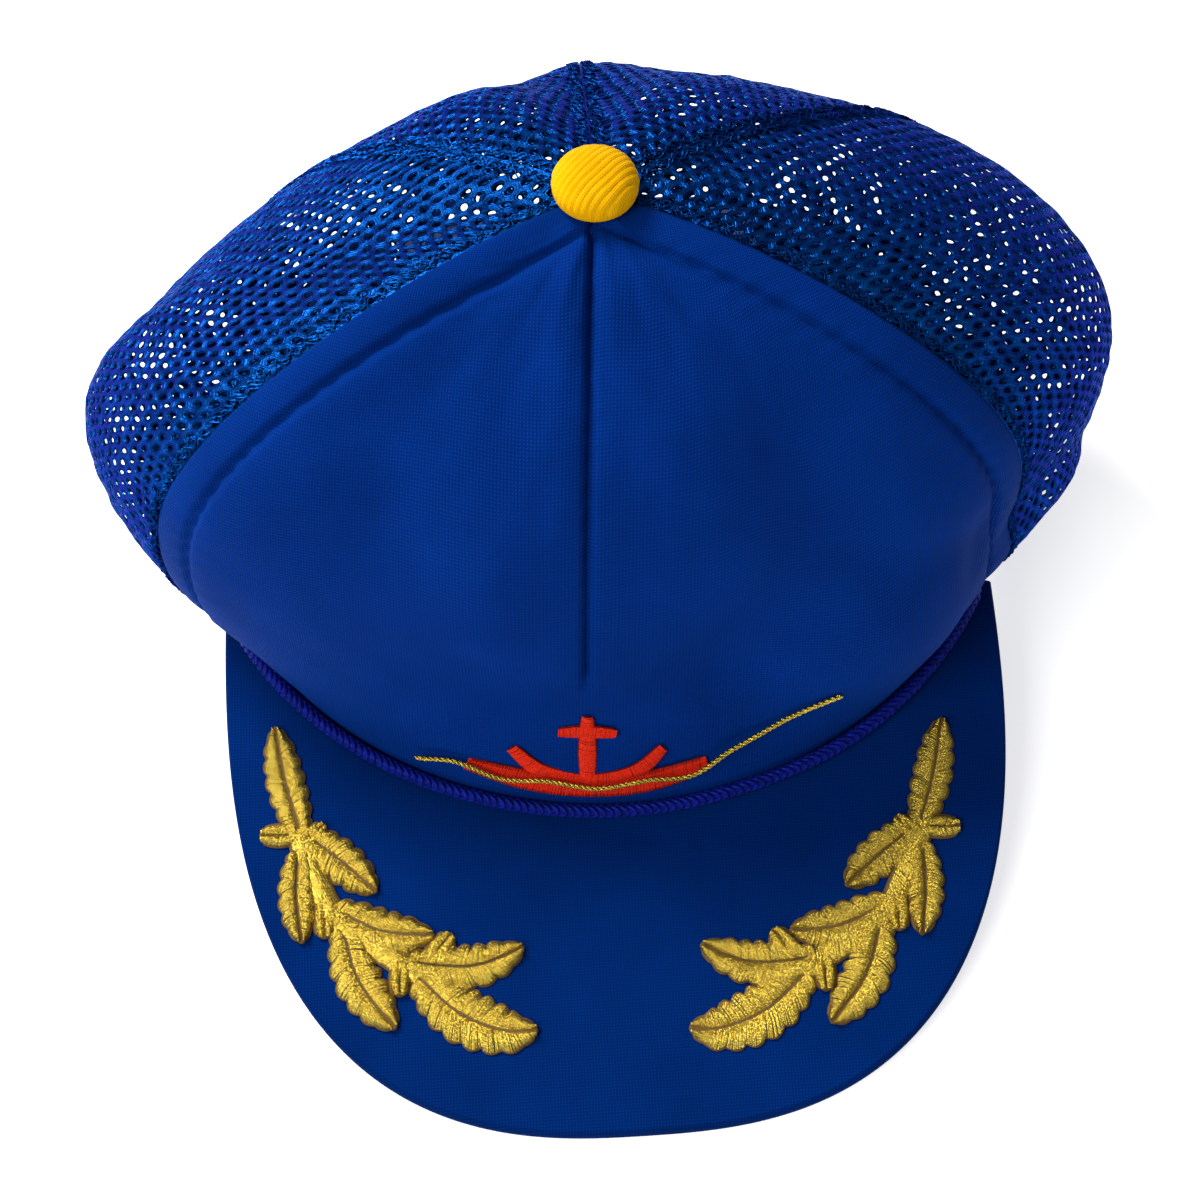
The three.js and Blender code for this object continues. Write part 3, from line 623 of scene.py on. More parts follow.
class Gore:
    """A net panel laid flat: x across from its middle, and y up from its rim, both in millimetres."""

    def __init__(self, low, high):
        middle = (low + high) / 2
        self.length = float(length_at(middle))
        self.shares = np.linspace(0, 1, 81)
        self.angles = np.linspace(low, high, 29)
        points = crown_point(self.angles[None], self.shares[:, None])
        steps = np.linalg.norm(np.diff(points, axis=1), axis=-1)
        self.arcs = np.concatenate([np.zeros((81, 1)), np.cumsum(steps, axis=1)], axis=1)
        self.top = self.length * float(tip_share(middle))

    def width(self, y):
        return np.interp(y / self.length, self.shares, self.arcs[:, -1])

    def angle_at(self, x, y):
        place = np.clip(y / self.length, 0, 1) * 80
        i = np.minimum(place.astype(int), 79)
        t = (place - i)[..., None]
        arcs = self.arcs[i] * (1 - t) + self.arcs[i + 1] * t
        target = np.clip(x + arcs[..., -1] / 2, 0, arcs[..., -1])
        k = np.clip((target[..., None] > arcs).sum(axis=-1) - 1, 0, 27)[..., None]
        before = np.take_along_axis(arcs, k, -1)[..., 0]
        after = np.take_along_axis(arcs, k + 1, -1)[..., 0]
        part = (target - before) / np.maximum(after - before, 1e-6)
        return self.angles[0] + (k[..., 0] + part) * (self.angles[1] - self.angles[0])

    def foot(self, angle):
        """How far up the net starts, just under the outer edge of the back opening's binding."""
        more = BINDING_WIDTH - NET_TUCK
        across = np.radians(180 - np.abs(angle)) * rim_reach(180.0) / (OPENING_HALF_WIDTH + more)
        arch = (OPENING_HEIGHT + more) * np.sqrt(np.maximum(1 - across**2, 0))
        return np.where(across < 1, arch, 0.0)

    def start(self, x, y):
        """The same at flat points, in the flat panel's measure."""
        angle = self.angle_at(x, y)
        return self.foot(angle) / length_at(angle) * self.length

    def place(self, x, y, out):
        """Points on the crown for flat points, held inside the panel's own edges."""
        half = np.maximum(self.width(y) / 2 - SEAM_GAP / 2, 0.05)
        angle = self.angle_at(np.clip(x, -half, half), y)
        share = np.clip(y / self.length, self.foot(angle) / length_at(angle), tip_share(angle))
        points = crown_offset(angle, share, out)
        floor = np.where(share <= 1e-6, rim_rise(angle), -1e9)
        points[..., 2] = np.maximum(points[..., 2], floor)
        return points

    def edge_distance(self, x, y):
        return self.width(y) / 2 - np.abs(x)


HEX_TURNS = np.radians(np.arange(12) * 30.0)
HEX_REACH = np.where(np.arange(12) % 2 == 0, CELL_PITCH / 2, CELL_PITCH / math.sqrt(3))


def net_layer(built, gore, seed, turn=0.0, depth=-0.45, band=None):
    """Rounded cells cut to the gore: each is a ring of strand between its hexagon and its hole.

    With a band, only cells that near the gore's edges and top are made, and more plainly.
    """
    draw = np.random.default_rng(seed)
    reach = 1.2 * max(gore.length, gore.arcs[:, -1].max())
    count = int(reach / CELL_ROW) + 2
    j, i = np.meshgrid(np.arange(-count, count), np.arange(-count, count), indexing="ij")
    x = (i + 0.5 * (j % 2)) * CELL_PITCH + draw.uniform(-1, 1)
    y = j * CELL_ROW + draw.uniform(-1, 1)
    c, s = math.cos(turn), math.sin(turn)
    x, y = (x * c - y * s).ravel(), (x * s + y * c).ravel() + 20
    inside = (y > -0.5) & (y < gore.top + 1) & (gore.edge_distance(x, np.clip(y, 0, gore.length)) > -1.0)
    x, y = x[inside], y[inside]
    foot = gore.start(x, y)
    keep = y > foot - 0.8
    profile = [(0.0, 1.0), (0.55, 0.8), (1.0, 0.0), (0.0, -1.0)]
    if band is not None:
        del profile[1]
        near = (gore.edge_distance(x, y) < band) | ((foot > 0) & (y < foot + band))
        keep &= near | (y < band) | (y > gore.top - 20)
    x, y = x[keep], y[keep]
    n, rings = len(x), len(profile)
    direction = np.stack([np.cos(HEX_TURNS + turn), np.sin(HEX_TURNS + turn)], axis=-1)
    size = 1 + draw.uniform(-0.24, 0.14, (n, 1))
    oval = 1 + 0.15 * np.cos(2 * HEX_TURNS[None] + draw.uniform(0, 6.3, (n, 1)))
    centre = np.stack([x, y], axis=-1)[:, None]
    rim = (centre + direction[None] * HEX_REACH[None, :, None])[:, None]
    shift = draw.uniform(-0.12, 0.12, (n, 1, 2))
    lip = (centre + shift + direction[None] * (HOLE_RADIUS * size * oval)[..., None])[:, None]
    lay, height = (np.array(part)[None, :, None] for part in zip(*profile))
    flat = rim * (1 - lay[..., None]) + lip * lay[..., None]
    warp = [0.28 * ripple(flat[..., 0], flat[..., 1], length, seed + k) for length, k in ((13, 5), (15, 6))]
    lift = 0.22 * ripple(flat[..., 0], flat[..., 1], 9, seed + 7)
    points = gore.place(flat[..., 0] + warp[0], flat[..., 1] + warp[1], depth + STRAND_HEIGHT * height + lift)
    k, r = np.meshgrid(np.arange(12), 12 * np.arange(rings - 1), indexing="ij")
    after = (k + 1) % 12
    quad = np.stack([r + k, r + after, r + 12 + after, r + 12 + k], axis=-1).reshape(-1, 4)
    quads = (quad[None] + (np.arange(n) * 12 * rings)[:, None, None]).reshape(-1, 4)
    v = np.where(height > -1, 0.62 * lay, 1.2) + np.zeros((n, 1, 12))
    built.add(points, quads, np.stack(np.broadcast_arrays(np.arange(12) * 0.9, v), axis=-1))


def seam_yarns(built, gore, side, seed):
    """A cord up a panel's seam, and loops of thread that run up its raw edge."""
    draw = np.random.default_rng(seed)
    y = np.arange(0.5, gore.top - 0.5, 0.55)
    half = gore.width(y) / 2
    above = y >= gore.start(side * half, y)
    built.tube(gore.place(side * half[above], y[above], -0.5), 0.42, 6)
    for k in range(5):
        phase, pitch = draw.uniform(0, 6.3), draw.uniform(3.0, 5.5)
        wander = 1.5 * ripple(y, 0 * y, 17, seed + k)
        sway = 1.5 * (0.5 + 0.5 * np.sin(2 * math.pi * y / pitch + phase + wander))
        x = side * (half - np.minimum(sway + 0.25 + 0.3 * k, half))
        out = 0.05 + 0.28 * np.sin(2 * math.pi * y / (pitch * 0.77) + phase * 1.7)
        keep = y >= gore.start(x, y)
        if keep.sum() > 4:
            built.tube(gore.place(x[keep], y[keep], out[keep]), 0.2, 5)


def net_panel(name, node, low, high, seed):
    gore = Gore(low, high)
    built = Build()
    net_layer(built, gore, seed)
    net_layer(built, gore, seed + 20, turn=0.35, depth=-1.05, band=9.5)
    for k, side in enumerate((-1, 1)):
        seam_yarns(built, gore, side, seed + 40 + 7 * k)
    return built.piece(name, [net_threads], "net", node)


# Brim


def brim():
    columns, steps = 161, 60
    turn = np.linspace(-1, 1, columns)
    angle = turn * (FRONT_SEAM - degrees_of(FRONT_SEAM, 0.0, SEAM_GAP / 2))
    root = around(angle, rim_reach(angle) - PANEL_WALL, 0.0)[:, :2]
    edge = np.stack(brim_edge(90 * turn), axis=-1)
    run = np.linalg.norm(edge - root, axis=-1)
    radius = BRIM_THICKNESS / 2
    lay, drop = [], []
    for t in np.linspace(0, 1, steps):
        lay.append(t * (1 - radius / np.maximum(run, 3 * radius)))
        drop.append(0.0)
    for a in np.linspace(0, math.pi, 9)[1:-1]:
        lay.append(1 - radius * (1 - math.sin(a)) / np.maximum(run, 3 * radius))
        drop.append(radius * (1 - math.cos(a)))
    for t in np.linspace(1, 0, 24):
        lay.append(t * (1 - radius / np.maximum(run, 3 * radius)))
        drop.append(BRIM_THICKNESS)
    lay, drop = np.array(lay).T, np.array(drop)[None]
    x = root[:, :1] + (edge - root)[:, :1] * lay
    y = root[:, 1:] + (edge - root)[:, 1:] * lay
    wave = 0.12 * ripple(x, y, 38, 21) * smoothstep(0, 0.1, lay) * (1 - smoothstep(0.93, 0.99, lay))
    z = brim_top(x, y) - drop + np.where(drop < radius, wave, 0)
    points = np.stack([x, y, z], axis=-1)
    built = Build()
    flat = np.stack([x, y], axis=-1)
    cut = steps - 1
    built.grid(points[:, : cut + 1], flat[:, : cut + 1], 0)
    # Finish 1, the darker edge cloth, is painted shade on the rounded edge and, below, on the ends
    built.grid(points[:, cut : cut + 10], flat[:, cut : cut + 10], 1)
    built.grid(points[:, cut + 9 :], flat[:, cut + 9 :], 0)
    for i, flip in ((0, False), (columns - 1, True)):
        under = sampled(points[i, -1:-25:-1], np.linspace(0, 1, 24), np.linspace(0, 1, cut + 1))
        built.grid(np.stack([points[i, : cut + 1], under]), None, 1, flip=flip)
    built.grid(np.stack([points[:, 0], points[:, -1]]), None, 0)
    return built.piece("brim_covered", [brim_cloth, edge_cloth], "twill", "brim")


# Braid round the panel's foot


def rope():
    angles = np.linspace(-(FRONT_SEAM - 1), FRONT_SEAM - 1, 700)
    foot = crown_offset(angles, share_of(angles, ROPE_RADIUS), PAD_RISE + ROPE_RADIUS + THREAD_GAP)
    foot[:, 2] = brim_top(foot[:, 0], foot[:, 1]) + ROPE_RADIUS + SEAM_GAP
    run = run_of(foot)
    tangent = unit(np.gradient(foot, axis=0))
    side = unit(np.cross(tangent, np.array([0.0, 0.0, 1.0])))
    up = np.cross(side, tangent)
    built = Build()
    strand, pitch, lean = 0.5, 1.75, 2.2
    built.tube(foot, 1.2, 8)
    reach = ROPE_RADIUS - strand
    crest = math.radians(125)
    part = np.linspace(0, 1, 9)
    for way in (-1, 1):
        for start in np.arange(0.3 + 0.25 * pitch * way, run[-1] - lean - 0.3, pitch):
            at = start + lean * np.sin(math.pi * part)
            turn = crest + way * math.pi * part
            middle, out, over = (sampled(v, run, at) for v in (foot, side, up))
            path = middle + out * (np.cos(turn) * reach)[:, None] + over * (np.sin(turn) * reach)[:, None]
            built.tube(path, strand * (1 - 0.35 * np.abs(2 * part - 1) ** 4), 6)
    return built.piece("rope_braided", [braid_threads], "braid", "rope_braid")


# Button

RIB_PITCH, RIB_HEIGHT, RIB_TURN = 1.4, 0.24, math.radians(46)


def button():
    seat = CROWN_HEIGHT + BAND_GAP
    t = np.linspace(0, 1, 70)[:, None]
    corner = np.array([[BUTTON_RADIUS - 0.6, 0], [BUTTON_RADIUS, 0], [BUTTON_RADIUS, 0.28 * BUTTON_HEIGHT]])
    dome = np.array([
        [BUTTON_RADIUS, 0.28 * BUTTON_HEIGHT], [BUTTON_RADIUS, 0.75 * BUTTON_HEIGHT],
        [BUTTON_RADIUS * 0.6, BUTTON_HEIGHT], [0, BUTTON_HEIGHT],
    ])
    s = np.linspace(0, 1, 9)[:-1, None]
    low = (1 - s) ** 2 * corner[0] + 2 * s * (1 - s) * corner[1] + s * s * corner[2]
    high = (1 - t) ** 3 * dome[0] + 3 * t * (1 - t) ** 2 * dome[1] + 3 * t * t * (1 - t) * dome[2] + t**3 * dome[3]
    shank = TIP_RADIUS - SEAM_GAP - 0.6
    profile = np.concatenate([[[0.01, PANEL_WALL * -1 - BAND_GAP], [shank, -PANEL_WALL - BAND_GAP], [shank, 0.0]], low, high])
    profile[-1, 0] = 0.01
    turn = np.linspace(0, 2 * math.pi, 193)[:-1]
    tangent = np.gradient(profile, axis=0)
    normal = unit(np.stack([tangent[:, 1], -tangent[:, 0]], axis=-1))
    r, z = profile[:, :1], profile[:, 1:] + seat
    x, y = r * np.cos(turn), r * np.sin(turn)
    over = -x * math.sin(RIB_TURN) + y * math.cos(RIB_TURN)
    along = x * math.cos(RIB_TURN) + y * math.sin(RIB_TURN)
    over = over + 0.12 * ripple(x, y, 9, 31)
    fade = smoothstep(0.4, 2.0, z - seat) * np.ones_like(x)
    ridge = np.abs(np.sin(math.pi * over / RIB_PITCH)) ** 0.6 - 0.6
    height = RIB_HEIGHT * fade * ridge + 0.04 * fade * ripple(x, y, 5, 32)
    nr, nz = normal[:, :1], normal[:, 1:]
    points = np.stack([x + np.cos(turn) * nr * height, y + np.sin(turn) * nr * height, z + nz * height], axis=-1)
    built = Build()
    built.grid(points, np.stack([along, over], axis=-1), around=True, flip=True)
    return built.piece("button_covered", [yellow_cloth], "yellow_rib", "crown_button")


# Sweatband, binding and strap


def sweatband():
    angle = np.linspace(-BAND_END, BAND_END, 261)[:, None]
    level = np.linspace(0, 1, 19)[None]
    share = share_of(angle, BAND_HEIGHT) * level
    in_net = smoothstep(FRONT_SEAM + 1, FRONT_SEAM + 8, np.abs(angle))
    setback = BAND_GAP + PANEL_WALL + (NET_WALL - PANEL_WALL) * in_net
    reach = np.minimum(rim_reach(angle), reach_of(angle, share)) - setback
    low = np.maximum(rim_rise(angle) - BRIM_THICKNESS - SEAM_GAP, 0)
    rise = crown_point(angle, share)[..., 2]
    rise[:, :1] = low
    along = np.radians(angle) * rim_reach(angle) * np.ones_like(share)
    roll = 0.25 * bump((level - 0.06) / 0.06) + 0.2 * bump((level - 0.95) / 0.05)
    wave = 0.15 * ripple(along, share * 150, 24, 41)
    outer = around(angle, reach + 0 * share, rise)
    inner = around(angle, reach - BAND_WALL - roll + wave * level, rise)
    built = Build()
    uvs = np.stack([along, BAND_HEIGHT * level * np.ones_like(share)], axis=-1)
    built.wall(outer, inner, uvs)
    return built.piece("sweatband_folded", [tape_cloth], "twill", "sweatband")


def stitches(built, path, pitch=2.9, length=2.1):
    """Short raised stitches along a path of points."""
    run = run_of(path)
    for start in np.arange(0.6, run[-1] - length, pitch):
        built.tube(sampled(path, run, start + length * np.linspace(0, 1, 5)), 0.2, 5, 1)


def opening_binding():
    turn = np.radians(np.linspace(180, 0, 121))[:, None]
    level = np.linspace(1, 0, 13)[None]
    proud = (BINDING_WALL - NET_WALL) / 2

    def place(more, out):
        across = (OPENING_HALF_WIDTH + more) * np.cos(turn)
        up = (OPENING_HEIGHT + more) * np.sin(turn)
        angle = 180 - np.degrees(across / rim_reach(180.0))
        point = crown_offset(angle, share_of(angle, up), out)
        for end in (0, -1):
            point[end, :, 2] = rim_rise(angle[end])
        return point

    more = BINDING_WIDTH * level + 0 * turn
    edge = 1 - bump(np.minimum(level, 1 - level) / 0.12) * 0.5
    built = Build()
    arc = (np.pi - turn) * (OPENING_HEIGHT + more)
    uvs = np.stack([arc, more], axis=-1)
    built.wall(place(more, proud * (2 * edge - 1)), place(more, proud - BINDING_WALL * (0.75 + 0.25 * edge)), uvs)
    for more_at in (1.4, 5.6):
        stitches(built, place(np.full_like(turn, more_at), proud + 0.02)[2:-2, 0])
    return built.piece("binding_stitched", [tape_cloth, brim_cloth], "twill", "opening_binding")


def snap_strap():
    setback = (NET_WALL + BINDING_WALL) / 2 + BAND_GAP
    angle = np.linspace(180 + (180 - STRAP_END), STRAP_END, 91)[:, None]
    level = np.linspace(0, 1, 15)[None]
    share = share_of(angle, STRAP_HEIGHT * level)
    soft = 0.35 * (1 - np.sqrt(np.clip(np.minimum(level, 1 - level) / 0.06, 0, 1)))
    low, high = crown_offset(angle, share, -setback - STRAP_WALL + soft), crown_offset(angle, share, -setback - soft)
    for face in (low, high):
        face[:, 0, 2] = 0
    built = Build()
    arc = np.radians(angle) * rim_reach(180.0) + 0 * level
    built.wall(low, high, np.stack([arc, STRAP_HEIGHT * level + 0 * angle], axis=-1))
    turns = np.linspace(0, 2 * math.pi, 29)[:-1]
    for k in range(STUD_COUNT):
        at = 180 + math.degrees((k - (STUD_COUNT - 1) / 2) * STUD_PITCH / float(rim_reach(180.0)))
        level_at = float(share_of(at, STRAP_HEIGHT / 2))
        middle = crown_offset(at, level_at, -setback)
        out = crown_normal(np.array(at), np.array(level_at))
        side = unit(np.cross(out, np.array([0.0, 0.0, 1.0])))
        up = np.cross(side, out)
        rings = [(1.0, -0.4), (1.0, 0.1), (1.0, STUD_HEIGHT - 0.25)]
        rings += [(0.86, STUD_HEIGHT - 0.05), (0.5, STUD_HEIGHT), (0.01, STUD_HEIGHT)]
        stud = [
            middle + out * lift + STUD_RADIUS * size * (np.cos(turns)[:, None] * side + np.sin(turns)[:, None] * up)
            for size, lift in rings
        ]
        built.grid(np.array(stud), around=True)
    return built.piece("snap_strap_moulded", [strap_plastic], "plastic", "snap_strap")


# Embroidery


def spline(points, at):
    """A Catmull-Rom curve through the points, at shares of their count."""
    points = np.asarray(points, float)
    place = np.clip(at, 0, 1) * (len(points) - 1)
    i = np.minimum(place.astype(int), len(points) - 2)
    t = (place - i)[:, None]
    last = len(points) - 1
    p0, p1, p2, p3 = (points[np.clip(i + k, 0, last)] for k in (-1, 0, 1, 2))
    p0 = np.where((i == 0)[:, None], p1, p0)
    p3 = np.where((i >= last - 1)[:, None], p2, p3)
    v0, v1 = (p2 - p0) / 2, (p3 - p1) / 2
    return (2 * p1 - 2 * p2 + v0 + v1) * t**3 + (-3 * p1 + 3 * p2 - 2 * v0 - v1) * t**2 + v0 * t + p1


class Spine:
    """A stroke's middle line, sampled evenly along its length."""

    def __init__(self, points):
        fine = spline(points, np.linspace(0, 1, 400))
        run = run_of(fine)
        self.length = run[-1]
        self.fine, self.run = fine, run
        self.tangents = unit(np.gradient(fine, run, axis=0))

    def at(self, share, across):
        """The point at a share of the length, moved sideways; before 0 and past 1 it runs on straight."""
        share = np.asarray(share, float)
        run = share * self.length
        x, y = (np.interp(run, self.run, self.fine[:, c]) for c in (0, 1))
        tx, ty = (np.interp(run, self.run, self.tangents[:, c]) for c in (0, 1))
        over = run - np.clip(run, 0, self.length)
        return x + tx * over - ty * across, y + ty * over + tx * across


SPRAY_STROKES = [
    ("leaf", [(70, -92), (74, -80), (77, -67)], 3.5),
    ("leaf", [(69, -92), (61, -98), (53, -105)], 3.8),
    ("leaf", [(70.5, -96), (70.5, -106), (69, -116)], 3.3),
    ("leaf", [(62, -109), (51, -114), (40, -115)], 3.9),
    ("leaf", [(60, -113), (56, -125), (48, -135)], 4.2),
    ("leaf", [(45, -121), (31, -122), (20, -118)], 3.9),
    ("leaf", [(43, -124), (34, -132), (24, -136), (17, -136)], 4.9),
    ("bud", [(71, -92), (79, -92)], 2.4),
    ("bud", [(70, -94), (65, -90)], 2.0),
    ("bud", [(64, -106), (64, -115)], 2.4),
    ("bud", [(41, -121), (36, -115)], 2.4),
    ("bud", [(47, -121), (47, -128)], 2.2),
    ("stem", [(71, -91), (66, -103), (60, -112), (42, -124)], 2.5),
]
THREAD_PITCH = 0.33
LOBE_PITCH = 4.4


def satin(built, surface, spine, width, thickness, draw, gap=0.22, slant=0.3, lift=0.0, whole=False):
    """Threads laid side by side from the middle line to the outline, or right across if the stroke is whole."""
    count = max(4, int(spine.length / THREAD_PITCH))
    starts = (np.arange(count) + 0.5) / count
    t = np.linspace(0, 1, 6)
    dome = np.array([0.5, 0.85, 1.0, 0.96, 0.74, 0.18])
    if whole:
        dome = np.sqrt(np.clip(1 - (2 * t - 1) ** 2 * 0.96, 0, 1))
    for side in (1,) if whole else (-1, 1):
        root = starts[:, None] + draw.uniform(-0.3, 0.3, (count, 1)) / count
        reach = width(np.clip(root, 0, 1)) * side
        ahead = slant * np.abs(reach) / spine.length
        near = side * (gap + draw.uniform(0, 0.22, (count, 1)))
        if whole:
            along, across = root + ahead * (t[None] - 0.5), reach * (2 * t[None] - 1)
        else:
            reach = width(np.clip(root + ahead, 0, 0.995)) * side
            along, across = root + ahead * t[None], near + (reach - near) * t[None]
        along = np.minimum(along, 1.0)
        across = across * (1 + draw.uniform(-0.02, 0.03, (count, 1)))
        height = THREAD_GAP + lift + thickness * dome[None] * (1 + draw.uniform(-0.11, 0.11, (count, 1)))
        half = 0.56 * THREAD_PITCH / spine.length
        rows = []
        for edge, down in ((-1, 0.16), (0, 0.0), (1, 0.16)):
            rows.append(surface(*spine.at(along + edge * half, across), height - down))
        k, s = np.meshgrid(np.arange(5), np.arange(2), indexing="ij")
        a = k * 3 + s
        quad = np.stack([a, a + 1, a + 4, a + 3], axis=-1).reshape(-1, 4)
        if side > 0:
            quad = quad[:, ::-1]
        quads = (quad[None] + (np.arange(count) * 18)[:, None, None]).reshape(-1, 4)
        u = (np.abs(reach) * t[None])[:, :, None]
        uv = np.stack(np.broadcast_arrays(u, np.array([0.0, 0.5, 1.0])), axis=-1)
        built.add(np.stack(rows, axis=2), quads, uv)


def backing(built, surface, spine, width, out, border=0.5):
    """The padded ground under the threads, coloured dark as painted shadow, which shows as a dark line round them."""
    over = border / spine.length
    along = np.linspace(-over, 1 + over, 90)[:, None]
    across = np.linspace(-1, 1, 9)[None]
    reach = width(np.clip(along, 0, 1)) + border
    taper = np.sqrt(np.clip(np.minimum(along + over, 1 + over - along) * spine.length / 1.2, 0.02, 1))
    x, y = spine.at(along + 0 * across, across * reach * taper)
    height = THREAD_GAP + out * np.sqrt(np.clip(1 - np.abs(across) ** 3, 0, 1)) + 0 * along
    top = surface(x, y, height)
    under = surface(x, y, THREAD_GAP - 0.02 + 0 * height)
    built.wall(top[:, ::-1], under[:, ::-1], None, 1)


def leaf_width(half, lobes, phase):
    def width(along):
        shape = np.sin(math.pi * (0.08 + 0.9 * np.clip(along, 0, 1))) ** 0.5
        lobe = np.abs(np.sin(math.pi * (lobes * along + phase))) ** 0.7
        return half * shape * (0.95 + 0.27 * lobe * np.clip(6 * (1 - along), 0, 1))

    return width


def bud_width(half):
    return lambda along: half * np.sin(math.pi * (0.12 + 0.76 * np.clip(along, 0, 1))) ** 0.5


def stem_width(half):
    return lambda along: half + 0 * along


def leaf_spray(side):
    turn = math.radians(SPRAY_TURN)

    def surface(x, y, out):
        px = x * math.cos(turn) - y * math.sin(turn) + SPRAY_SHIFT[0]
        py = x * math.sin(turn) + y * math.cos(turn) + SPRAY_SHIFT[1]
        return np.stack([px, py, brim_top(px, py) + out], axis=-1)

    built = Build()
    draw = np.random.default_rng(60 + side)
    for k, (part, points, half) in enumerate(SPRAY_STROKES):
        spine = Spine([(side * x, y) for x, y in points])
        lift = 0.12 * (k % 3)
        if part == "leaf":
            width = leaf_width(half, round(spine.length / LOBE_PITCH) + 0.5, 0.15 + 0.1 * (k % 3))
            ground, style = 0.5, {"thickness": LEAF_THICKNESS - 0.15, "lift": lift}
        elif part == "bud":
            width = bud_width(half)
            ground, style = 0.4, {"thickness": 0.85 * LEAF_THICKNESS, "gap": 0.05, "lift": lift}
        else:
            width = stem_width(half)
            ground, style = 0.4, {"thickness": 0.7 * LEAF_THICKNESS, "slant": 0.9, "whole": True}
        backing(built, surface, spine, width, ground)
        satin(built, surface, spine, width, draw=draw, **style)
    name = "left" if side > 0 else "right"
    return built.piece(f"spray_{name}_satin", [gold_threads, gold_painted_shadow_ground], "gold_thread", f"leaf_spray_{name}")


EMBLEM_STROKES = [
    ([(-28, 9.5), (-14, 7.6), (0, 7.2), (14, 7.6), (28, 9.5)], 2.8),
    ([(0, 7), (0, 18), (0, 29)], 1.5),
    ([(-18, 17), (-11, 11), (0, 8.5), (11, 11), (18, 17)], 1.7),
    ([(-7, 23.4), (0, 24), (7, 23.4)], 1.3),
]
GOLD_SPINE = [
    (-39, 9), (-31, 11.5), (-20, 8.5), (-9, 9.5), (2, 8), (13, 9.5), (24, 8.5), (34, 13), (45, 17), (58, 26),
]
EMBLEM_END = 29.0


def panel_surface(across, up, out):
    angle = DART_ANGLE + np.degrees(across / rim_reach(DART_ANGLE))
    return crown_offset(angle, share_of(angle, up), PAD_RISE + out)


def emblem_red():
    built = Build()
    draw = np.random.default_rng(71)
    for k, (points, half) in enumerate(EMBLEM_STROKES):
        spine = Spine(points)

        def width(along, half=half):
            return (half + 0.5) * np.sin(math.pi * (0.1 + 0.8 * np.clip(along, 0, 1))) ** 0.4

        backing(built, panel_surface, spine, width, 0.25, border=0.25)
        satin(built, panel_surface, spine, width, 0.5 + 0.1 * (k % 2), draw, slant=0.25, lift=0.08 * k, whole=True)
    return built.piece("emblem_red_satin", [red_threads, red_painted_shadow_ground], "red_thread", "emblem_red")


def emblem_gold():
    built = Build()
    spine = Spine(GOLD_SPINE)
    run = np.linspace(0, 1, 900)
    x, y = spine.at(run, 0 * run)
    over = 1 - smoothstep(EMBLEM_END + 6, EMBLEM_END + 20, np.abs(x))
    rise = THREAD_GAP + over * (EMBLEM_THICKNESS + THREAD_GAP) + 0.42
    turn = 2 * math.pi * run * spine.length / 2.6
    for phase in (0, math.pi):
        px, py = spine.at(run, 0.34 * np.cos(turn + phase))
        built.tube(panel_surface(px, py, rise + 0.25 * np.sin(turn + phase)), 0.36, 6)
    return built.piece("emblem_gold_cord", [gold_threads], "gold_thread", "emblem_gold")


front_panel()
net_panel("net_left_side", "net_side_left", FRONT_SEAM, SIDE_SEAM, 101)
net_panel("net_right_side", "net_side_right", -SIDE_SEAM, -FRONT_SEAM, 102)
net_panel("net_left_back", "net_back_left", SIDE_SEAM, 180.0, 103)
net_panel("net_right_back", "net_back_right", -180.0, -SIDE_SEAM, 104)
brim()
rope()
button()
sweatband()
opening_binding()
snap_strap()
leaf_spray(1)
leaf_spray(-1)
emblem_red()
emblem_gold()

# Stage: a pale table, soft light from the upper left, and the camera

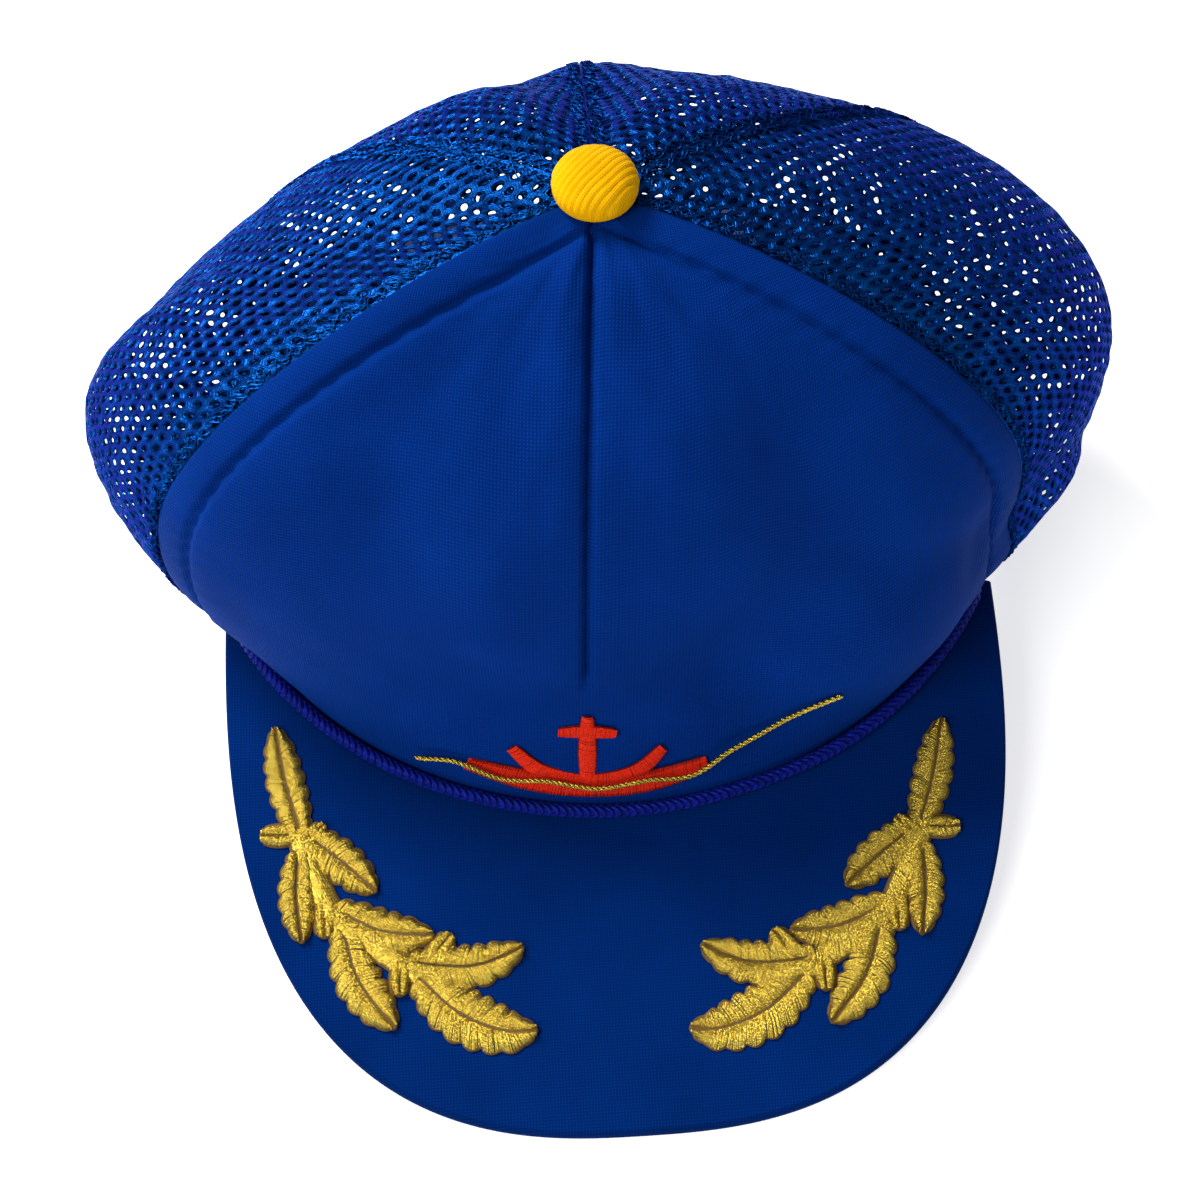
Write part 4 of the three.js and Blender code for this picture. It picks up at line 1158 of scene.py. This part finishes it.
table = bpy.data.meshes.new("table_top")
table.from_pydata([(-3, -3, 0), (3, -3, 0), (3, 3, 0), (-3, 3, 0)], [], [(0, 1, 2, 3)])
table_top = bpy.data.objects.new("table_top", table)
bpy.context.scene.collection.objects.link(table_top)
paper = bpy.data.materials.new("white_paper")
paper.use_nodes = True
for socket, value in (
    ("Base Color", (0.93, 0.93, 0.935, 1)),
    ("Roughness", 0.9),
    ("Emission Color", (1, 1, 1, 1)),
    ("Emission Strength", 0.62),
):
    paper.node_tree.nodes["Principled BSDF"].inputs[socket].default_value = value
table.materials.append(paper)


def area_light(name, place, size, power):
    lamp = bpy.data.lights.new(name, "AREA")
    lamp.shape, lamp.size, lamp.energy = "DISK", size, power
    made = bpy.data.objects.new(name, lamp)
    made.location = place
    made.rotation_euler = (Vector((0, 0.02, 0.05)) - Vector(place)).to_track_quat("-Z", "Y").to_euler()
    bpy.context.scene.collection.objects.link(made)


area_light("key", (-0.75, 0.72, 1.15), 0.55, 26.0)
area_light("fill", (-0.9, -0.7, 1.0), 0.8, 12.0)

sky = bpy.data.worlds.new("studio")
sky.use_nodes = True
sky.node_tree.nodes["Background"].inputs["Color"].default_value = (1, 1, 1, 1)
sky.node_tree.nodes["Background"].inputs["Strength"].default_value = 0.28
bpy.context.scene.world = sky

# The camera, from the fit of the crown, brim and button to the photograph
LENS_PIXELS, AZIMUTH, ELEVATION, ROLL, DISTANCE = 1964.2, 2.46, 62.34, -1.16, 421.8
TARGET = np.array([-3.09, -55.53, 57.0])

azimuth, elevation, roll = (math.radians(v) for v in (AZIMUTH, ELEVATION, ROLL))
ahead = np.array([math.sin(azimuth), math.cos(azimuth), 0.0]) * math.cos(elevation)
ahead[2] = -math.sin(elevation)
right = np.array([math.cos(azimuth), -math.sin(azimuth), 0.0])
above = np.cross(right, ahead)
turned = right * math.cos(roll) + above * math.sin(roll)
risen = -right * math.sin(roll) + above * math.cos(roll)
eye = (TARGET - ahead * DISTANCE) * MM + AXIS
lens = bpy.data.cameras.new("camera")
lens.sensor_width = 36.0
lens.lens = LENS_PIXELS / 1200 * 36
camera = bpy.data.objects.new("camera", lens)
camera.matrix_world = Matrix([
    (turned[0], risen[0], -ahead[0], eye[0]),
    (turned[1], risen[1], -ahead[1], eye[1]),
    (turned[2], risen[2], -ahead[2], eye[2]),
    (0, 0, 0, 1),
])
bpy.context.scene.collection.objects.link(camera)
bpy.context.scene.camera = camera
bpy.context.scene.view_settings.view_transform = "Standard"
